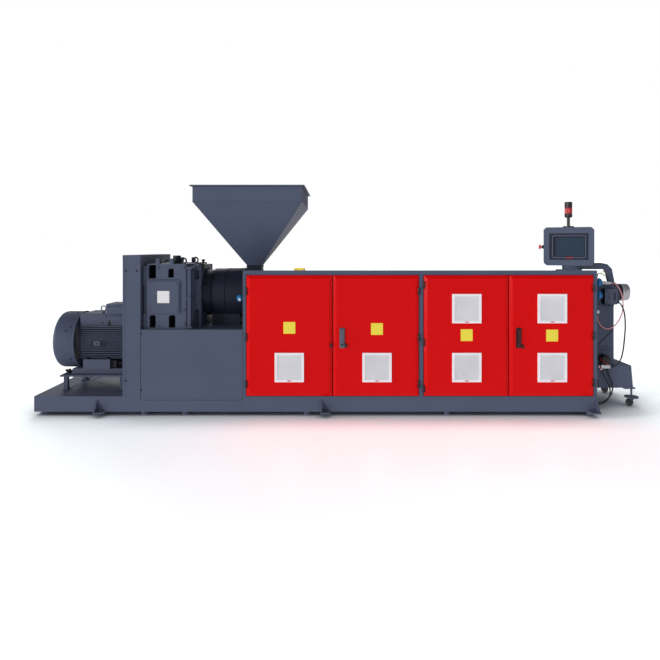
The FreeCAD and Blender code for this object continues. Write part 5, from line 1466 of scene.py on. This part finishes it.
class PELLET_OT_die_end(bpy.types.Operator):
    """Adds the die end's couplings, pipes, leads and nuts, and what sits on its housings."""
    bl_idname = "pellet.die_end"
    bl_label = "Die end"

    def execute(self, context):
        face = corner("die_column")[0][1]
        self.couplings()
        self.box_details(face)
        self.column_details(face)
        self.head_details()
        self.pump_details()
        return {"FINISHED"}

    def couplings(self):
        """Two blue couplings with ribbed nuts, and bright pipes from the upper one to the hose."""
        profile = [
            (0.0, 0.022), (0.003, 0.030), (0.008, 0.034), (0.011, 0.036), (0.021, 0.036),
            (0.023, 0.031), (0.027, 0.031),
            (0.029, 0.035), (0.035, 0.035), (0.038, 0.028), (0.040, 0.020),
        ]
        upper = at(4900, -166, 1120)
        lower = at(4902, -166, 1008)
        blues = [lathe(profile, upper, "x", 32), lathe(profile, lower, "x", 32)]
        angle = np.linspace(0.0, 2 * math.pi, 10, endpoint=False)
        for start in (upper, lower):
            for turn in angle:
                rib = span((start[0] + 0.012, start[1] - 0.003, start[2] + 0.034),
                           (start[0] + 0.031, start[1] + 0.003, start[2] + 0.038), 0.0, 0.001, "x")
                blues.append(turned_about(rib, start, "x", turn))
        piece("blue_couplings", blues, "Fitting blue")
        seats = []
        for level, reach in ((1120, 12), (1008, 14)):
            seats.append(span(at(4888, -150, level - 22), at(4890 + reach, -125, level + 22), 0.003,
                              0.001, "x"))
            seats.append(lathe([(0.0, 0.024), (reach * MM, 0.024)], at(4888, -166, level), "x", 24))
            seats.append(span(at(4888, -190, level - 20), at(4896, -140, level + 20), 0.004, 0.001,
                              "x"))
        piece("coupling_seats", seats, "Black plastic")
        pipes = [
            lathe([(0.0, 0.013), (0.030, 0.013)], at(4956, -152, 1116), "x", 24),
            bolt_head(at(4960, -152, 1116), 0.0165, 0.012, "x"),
            lathe([(0.0, 0.010), (0.022, 0.010)], at(4958, -152, 1116), "-x", 24),
            bolt_head(at(4976, -152, 1116), 0.0175, 0.009, "x"),
            bolt_head(at(5025, -141, 1114), 0.0105, 0.012, "x"),
            lathe([(0.0, 0.0085), (0.008, 0.0085)], at(5037, -141, 1114), "x", 20),
        ]
        piece("coupling_pipes", pipes, "Nickel", sharp=25.0)
        link = [at(4940, -166, 1008), at(4952, -162, 1008), at(4966, -156, 1004)]
        tube("coupling_link", link, 0.012, "Black plastic")
        loop = [at(4972, -140, 1188), at(4961, -141, 1190), at(4956, -142, 1201), at(4960, -142, 1213),
                at(4972, -142, 1217), at(4984, -141, 1210), at(4992, -138, 1196), at(4994, -134, 1184)]
        tube("yellow_lead", loop, 0.003, "Wire yellow")
        dark = [at(4922, -130, 1142), at(4918, -134, 1172), at(4926, -136, 1196), at(4944, -136, 1204),
                at(4962, -132, 1196), at(4990, -126, 1180)]
        tube("dark_lead", dark, 0.004, "Recess navy")

    def box_details(self, face):
        """The junction box's lid, screws and slot, and painted shadow on its left side."""
        low, high = corner("junction_box")
        front = low[1]
        lid = hoop(((low[0] + high[0]) / 2, front - 0.0006, (low[2] + high[2]) / 2), (0.139, 0.111),
                   (0.131, 0.103), 0.004, 0.0016, "y", 0.0005)
        piece("junction_lid", lid, "Slate casting")
        slot = slab((x_at(5052), front - 0.0008, 0.995), (0.074, 0.012, 0.002), 0.004, 0.0005, "y")
        marks_and_shade = [slot]
        for x, z in ((4980, 1047), (5003, 991), (4979, 937)):
            marks_and_shade.append(stud((x_at(x), front, z * MM), 0.0055, 0.002, 0.003, 0.003, "-y", 14))
        # Painted shadow: a dark sheet on the box's left side stands in for the cabinet's shadow there.
        marks_and_shade.append(span((low[0] - 0.0016, front + 0.004, low[2] + 0.004),
                          (low[0], face - 0.002, high[2] - 0.004), 0.002, 0.0006, "x"))
        piece("junction_marks", marks_and_shade, "Deep shade")
        glands = []
        for x in (4986, 5012, 5038):
            glands.append(lathe([(0, 0.010), (0.006, 0.010), (0.007, 0.008), (0.014, 0.0075),
                                 (0.015, 0.004)], (x_at(x), front + 0.030, low[2]), "-z", 14))
        piece("junction_glands", glands, "Black plastic")

    def column_details(self, face):
        """Ribs, lines and fold of the column, split and bolts of the clamp block, painted shade along
        the duct's edges.
        """
        lines = [span(at(4926, -126.2, 539), at(5022, -125, 543), 0.0, 0.0003, "y"),
                 span(at(4926, -130.2, 508), at(5040, -129, 512), 0.0, 0.0003, "y")]
        piece("column_lines", lines, "Deep shade")
        rib = span(at(4804, -129, 506), at(5072, -125, 525), 0.001, 0.001, "y")
        top = span(at(4802, -131, 905), at(5076, -125, 919), 0.002, 0.001, "y")
        piece("column_ribs", joined(rib, top), "Slate paint")
        points = np.array([(552, 4931), (560, 4927), (689, 5060), (681, 5064)], float) * MM
        points[:, 1] += BASE_LEFT
        rows = np.stack([
            np.stack([points[:, 1], np.full(4, face), points[:, 0]], axis=1),
            np.stack([points[:, 1], np.full(4, face - 0.0016), points[:, 0]], axis=1),
        ])
        piece("column_fold", ring_surface(rows[:, ::-1]), "Deep shade")
        split = span(at(4800, -126.2, 1019), at(4962, -125, 1023), 0.0, 0.0003, "y")
        piece("clamp_split", split, "Deep shade")
        bolts = []
        for x in (4824, 4872, 5088):
            for z in (948, 1094):
                bolts.append(bolt_head(at(x, -125, z), 0.010, 0.009, "-y"))
                bolts.append(bolt_head(at(x, 125, z), 0.010, 0.009, "y"))
        for x in (4830, 5048):
            for side in (-1, 1):
                bolts.append(bolt_head(at(x, side * 108, 371.6), 0.011, 0.009, "z"))
        piece("clamp_bolts", bolts, "Black plastic", sharp=25.0)
        # Painted shade: dark strips along the duct's top and lower edges stand in for the shade there.
        edge = span(at(4752, -126.4, 1288), at(4972, -125, 1292), 0.001, 0.0004, "y")
        edge_strip = span(at(4752, -126.4, 1238), at(4962, -125, 1243), 0.001, 0.0004, "y")
        piece("duct_hems", joined(edge, edge_strip), "Deep shade")

    def head_details(self):
        """The die head's heater band, its bright ring, and the plate with its ring of strand holes."""
        low, high = corner("die_head")
        axis = (low + high) / 2
        radius = (high[2] - low[2]) / 2
        band = lathe([(0.0, radius), (0.001, radius + 0.001), (0.0285, radius + 0.001),
                      (0.030, radius)], (low[0] + 0.003, axis[1], axis[2]), "x", 56)
        piece("die_band", band, "Zinc")
        ring = lathe([(0.0, radius), (0.001, radius + 0.0015), (0.006, radius + 0.0015),
                      (0.007, radius)], (low[0] + 0.036, axis[1], axis[2]), "x", 56)
        piece("die_ring", ring, "Turned steel")
        plate = lathe([(-0.004, 0.0), (-0.004, 0.034), (0.0, 0.036), (0.004, 0.034), (0.005, 0.0)],
                      (high[0] - 0.012, axis[1], axis[2]), "x", 48)
        piece("strand_plate", plate, "Turned steel")
        holes = []
        for angle in np.linspace(0.0, 2 * math.pi, 14, endpoint=False):
            y = axis[1] + 0.024 * math.cos(angle)
            z = axis[2] + 0.024 * math.sin(angle)
            holes.append(lathe([(0.0, 0.0028), (0.0006, 0.0028), (0.0007, 0.0)],
                               (high[0] - 0.0072, y, z), "x", 10))
        piece("strand_holes", holes, "Deep shade")
        collar_low = x_at(5140)
        grooves = [torus((collar_low + dx, axis[1], axis[2]), 0.0762, 0.0012, "x", 56, 8)
                   for dx in (0.010, 0.034)]
        lugs = [span((collar_low + 0.006, axis[1] + side * 0.070 - 0.006, axis[2] - 0.016),
                     (collar_low + 0.038, axis[1] + side * 0.078 + 0.006, axis[2] + 0.016), 0.004,
                     0.0015, "x") for side in (-1, 1)]
        piece("collar_details", joined(*grooves, *lugs), "Black plastic")

    def pump_details(self):
        """The small pump's cap, ribs and lead, the manifolds' nuts, and the cart's black brackets."""
        low, high = corner("circulation_pump")
        centre = (low + high) / 2
        front = low[1]
        cap = [
            lathe([(0.0, 0.032), (0.003, 0.032), (0.005, 0.027), (0.005, 0.014), (0.008, 0.011),
                   (0.009, 0.0)],
                  (centre[0], front, centre[2]), "-y", 36),
        ]
        for place in np.arange(0.014, 0.066, 0.012):
            cap.append(torus((centre[0], front + place, centre[2]), 0.0398, 0.0014, "y", 48, 6))
        piece("pump_cap", cap, "Black plastic")
        wire = [at(4932, -150, 452), at(4922, -176, 452), at(4922, -200, 436), at(4940, -211, 418),
                at(4965, -211, 404), at(4990, -204, 398), at(5000, -186, 392), at(4996, -165, 384)]
        tube("pump_lead", wire, 0.003, "Wire red")
        nut_places = (
            (5002, -162, 350.5, 0.0125, 0.006), (4952, -170, 350.5, 0.0125, 0.006),
            (4955, -162, 380, 0.0105, 0.006),
            (4998, -162, 380, 0.0105, 0.006), (4916, -142, 833, 0.0095, 0.007),
        )
        nuts = [bolt_head(at(x, y, z), radius, height, "z") for x, y, z, radius, height in nut_places]
        piece("manifold_nuts", nuts, "Nickel", sharp=25.0)
        sleeve = [(0.0, 0.013), (0.004, 0.014), (0.012, 0.014), (0.014, 0.010)]
        collars = [lathe(sleeve, at(4928, -162, 366), "-x", 20),
                   lathe(sleeve, at(4936, -172, 352), "-z", 20)]
        piece("pale_fittings", collars, "Fitting pale")
        brackets = [span(at(left, -149, low), at(left + 18, -145, high), 0.003, 0.001, "y")
                    for left, low, high in ((4840, 178, 246), (4912, 206, 240), (4912, 176, 198))]
        brackets.append(span(at(4844, -164, 178), at(4858, -148, 186), 0.002))
        piece("cart_brackets", brackets, "Black plastic")


class PELLET_OT_cart(bpy.types.Operator):
    """Adds the cart's hems, screws and side opening, and the casters' hubs."""
    bl_idname = "pellet.cart"
    bl_label = "Cart"

    def execute(self, context):
        top = corner("cart_body")[1][2]
        bottom = 170.6 * MM
        right_foot = x_at(5238)
        left = x_at(4830)
        front = -0.145
        back = 0.405
        skin = context.scene.pellet_pieces.sheet
        right = x_at(5219)
        hems = [span((left + 0.002, low, top - 0.016), (right, low + skin * 0.7, top - 0.001), 0.001,
                     0.0004, "y") for low in (front - skin * 0.7, back)]
        piece("cart_hems", hems, "Slate paint")
        door = hoop(((left + right_foot) / 2 - 0.006, back + 0.0006, (top + bottom) / 2),
                    (0.130, 0.320), (0.126, 0.316), 0.004, 0.0012, "y", 0.0003)
        piece("cart_rear_door", door, "Deep shade")
        places = ((left + 0.26, bottom + 0.014), (right_foot - 0.018, bottom + 0.014),
                  (right_foot - 0.030, top - 0.030))
        screws = [stud((x, front, z), 0.005, 0.002, 0.003, 0.003, "-y") for x, z in places]
        latch = lathe([(0, 0.011), (0.003, 0.011), (0.005, 0.007)],
                      ((left + right_foot) / 2 + 0.13, back, (top + bottom) / 2), "y", 20)
        piece("cart_screws", screws + [latch], "Deep shade")
        for name in ("front_right", "back_right", "front_left", "back_left"):
            wheel_low, wheel_high = corner(f"caster_wheel_{name}")
            centre = (wheel_low + wheel_high) / 2
            hubs = []
            for side, way in ((wheel_low[1], "-y"), (wheel_high[1], "y")):
                hubs.append(lathe([(-0.0003, 0.0115), (0.0004, 0.0180), (0.0007, 0.0205),
                                   (0.0006, 0.0235), (-0.0003, 0.0245)], (centre[0], side, centre[2]),
                                  way, 32))
            piece(f"hub_{name}", hubs, "Black plastic", f"wheel_{name}")
        return {"FINISHED"}


class PELLET_OT_inside(bpy.types.Operator):
    """Adds the barrel's heater bands, and the rails, ducts and gear on the boards behind the doors."""
    bl_idname = "pellet.inside"
    bl_label = "Behind the doors"

    def execute(self, context):
        low, high = corner("barrel")
        axis_z = (low[2] + high[2]) / 2
        radius = (high[2] - low[2]) / 2
        bands = []
        caps = []
        for x in np.arange(low[0] + 0.120, high[0] - 0.34, 0.365):
            bands.append(lathe([(0.0, radius), (0.002, radius + 0.006), (0.268, radius + 0.006),
                                (0.270, radius)], (x, 0.0, axis_z), "x", 40))
            bands.append(span((x + 0.020, -0.012, axis_z + radius + 0.002),
                              (x + 0.250, 0.012, axis_z + radius + 0.016), 0.002, 0.001, "z"))
            caps.append(span((x + 0.100, -0.026, axis_z + radius + 0.016),
                             (x + 0.170, 0.026, axis_z + radius + 0.046), 0.004, 0.002, "z"))
        piece("heater_bands", bands, "Zinc")
        piece("heater_caps", caps, "Black plastic")
        face = corner("mounting_boards")[0][1]
        bays = ((1801, 3275), (3308, 4758))
        rails = []
        ducts = []
        blocks = []
        keys = []
        terminals = []
        for left, right in bays:
            x0 = at(left + 60, 0, 0)[0]
            x1 = at(right - 60, 0, 0)[0]
            for row, z in enumerate((0.36, 0.60, 0.84)):
                rails.append(span((x0, face - 0.008, z - 0.0175), (x1, face, z + 0.0175), 0.001, 0.001,
                                  "y"))
                ducts.append(span((x0, face - 0.050, z + 0.080), (x1, face, z + 0.120), 0.002, 0.002,
                                  "x"))
                width = (0.054, 0.018, 0.072)[row]
                tall = (0.090, 0.085, 0.110)[row]
                deep = (0.070, 0.055, 0.080)[row]
                for x in np.arange(x0 + 0.05, x1 - 0.12, width + 0.006 + 0.05 * (row == 2)):
                    blocks.append(span((x, face - deep, z - tall / 2),
                                       (x + width, face - 0.008, z + tall / 2), 0.002, 0.0015, "y"))
                    keys.append(span((x + width * 0.3, face - deep - 0.006, z - 0.010),
                                     (x + width * 0.7, face - deep, z + 0.010), 0.001, 0.001, "y"))
            z = 0.215
            rails.append(span((x0, face - 0.008, z - 0.0175), (x1, face, z + 0.0175), 0.001, 0.001,
                              "y"))
            for x in np.arange(x0 + 0.03, x1 - 0.05, 0.0085):
                terminals.append(span((x, face - 0.040, z - 0.024),
                                      (x + 0.0072, face - 0.008, z + 0.024), 0.0, 0.001, "y", 1))
        piece("din_rails", rails, "Zinc")
        piece("wire_ducts", ducts, "Bezel grey")
        piece("control_gear", blocks, "Gear grey", sharp=25.0)
        piece("control_switches", keys, "Black plastic", sharp=25.0)
        piece("terminal_rows", terminals, "Handle grey", sharp=20.0)
        return {"FINISHED"}


class PELLET_PT_panel(bpy.types.Panel):
    """Lists the machine's piece groups."""
    bl_label = "Pelletizing machine"
    bl_idname = "PELLET_PT_panel"
    bl_space_type = "VIEW_3D"
    bl_region_type = "UI"
    bl_category = "Pelletizer"

    def draw(self, context):
        for operator in OPERATORS:
            self.layout.operator(operator.bl_idname)
        for group in (context.scene.pellet_colours, context.scene.pellet_pieces,
                      context.scene.pellet_studio):
            for name in group.bl_rna.properties.keys():
                if name not in ("rna_type", "name"):
                    self.layout.prop(group, name)


OPERATORS = (
    PELLET_OT_finishes,
    PELLET_OT_stage,
    PELLET_OT_cords,
    PELLET_OT_frame,
    PELLET_OT_base,
    PELLET_OT_motor,
    PELLET_OT_gearbox,
    PELLET_OT_extruder,
    PELLET_OT_cabinet,
    PELLET_OT_doors,
    PELLET_OT_grilles,
    PELLET_OT_handles,
    PELLET_OT_panel_unit,
    PELLET_OT_die_end,
    PELLET_OT_cart,
    PELLET_OT_inside,
)
CLASSES = (PaintColours, PieceSizes, StudioSettings) + OPERATORS + (PELLET_PT_panel,)


def register():
    for item in CLASSES:
        bpy.utils.register_class(item)
    bpy.types.Scene.pellet_colours = PointerProperty(type=PaintColours)
    bpy.types.Scene.pellet_pieces = PointerProperty(type=PieceSizes)
    bpy.types.Scene.pellet_studio = PointerProperty(type=StudioSettings)


def unregister():
    del bpy.types.Scene.pellet_colours
    del bpy.types.Scene.pellet_pieces
    del bpy.types.Scene.pellet_studio
    for item in reversed(CLASSES):
        bpy.utils.unregister_class(item)


def main():
    register()
    for operator in OPERATORS:
        group, name = operator.bl_idname.split(".")
        getattr(getattr(bpy.ops, group), name)()


if __name__ == "__main__":
    main()
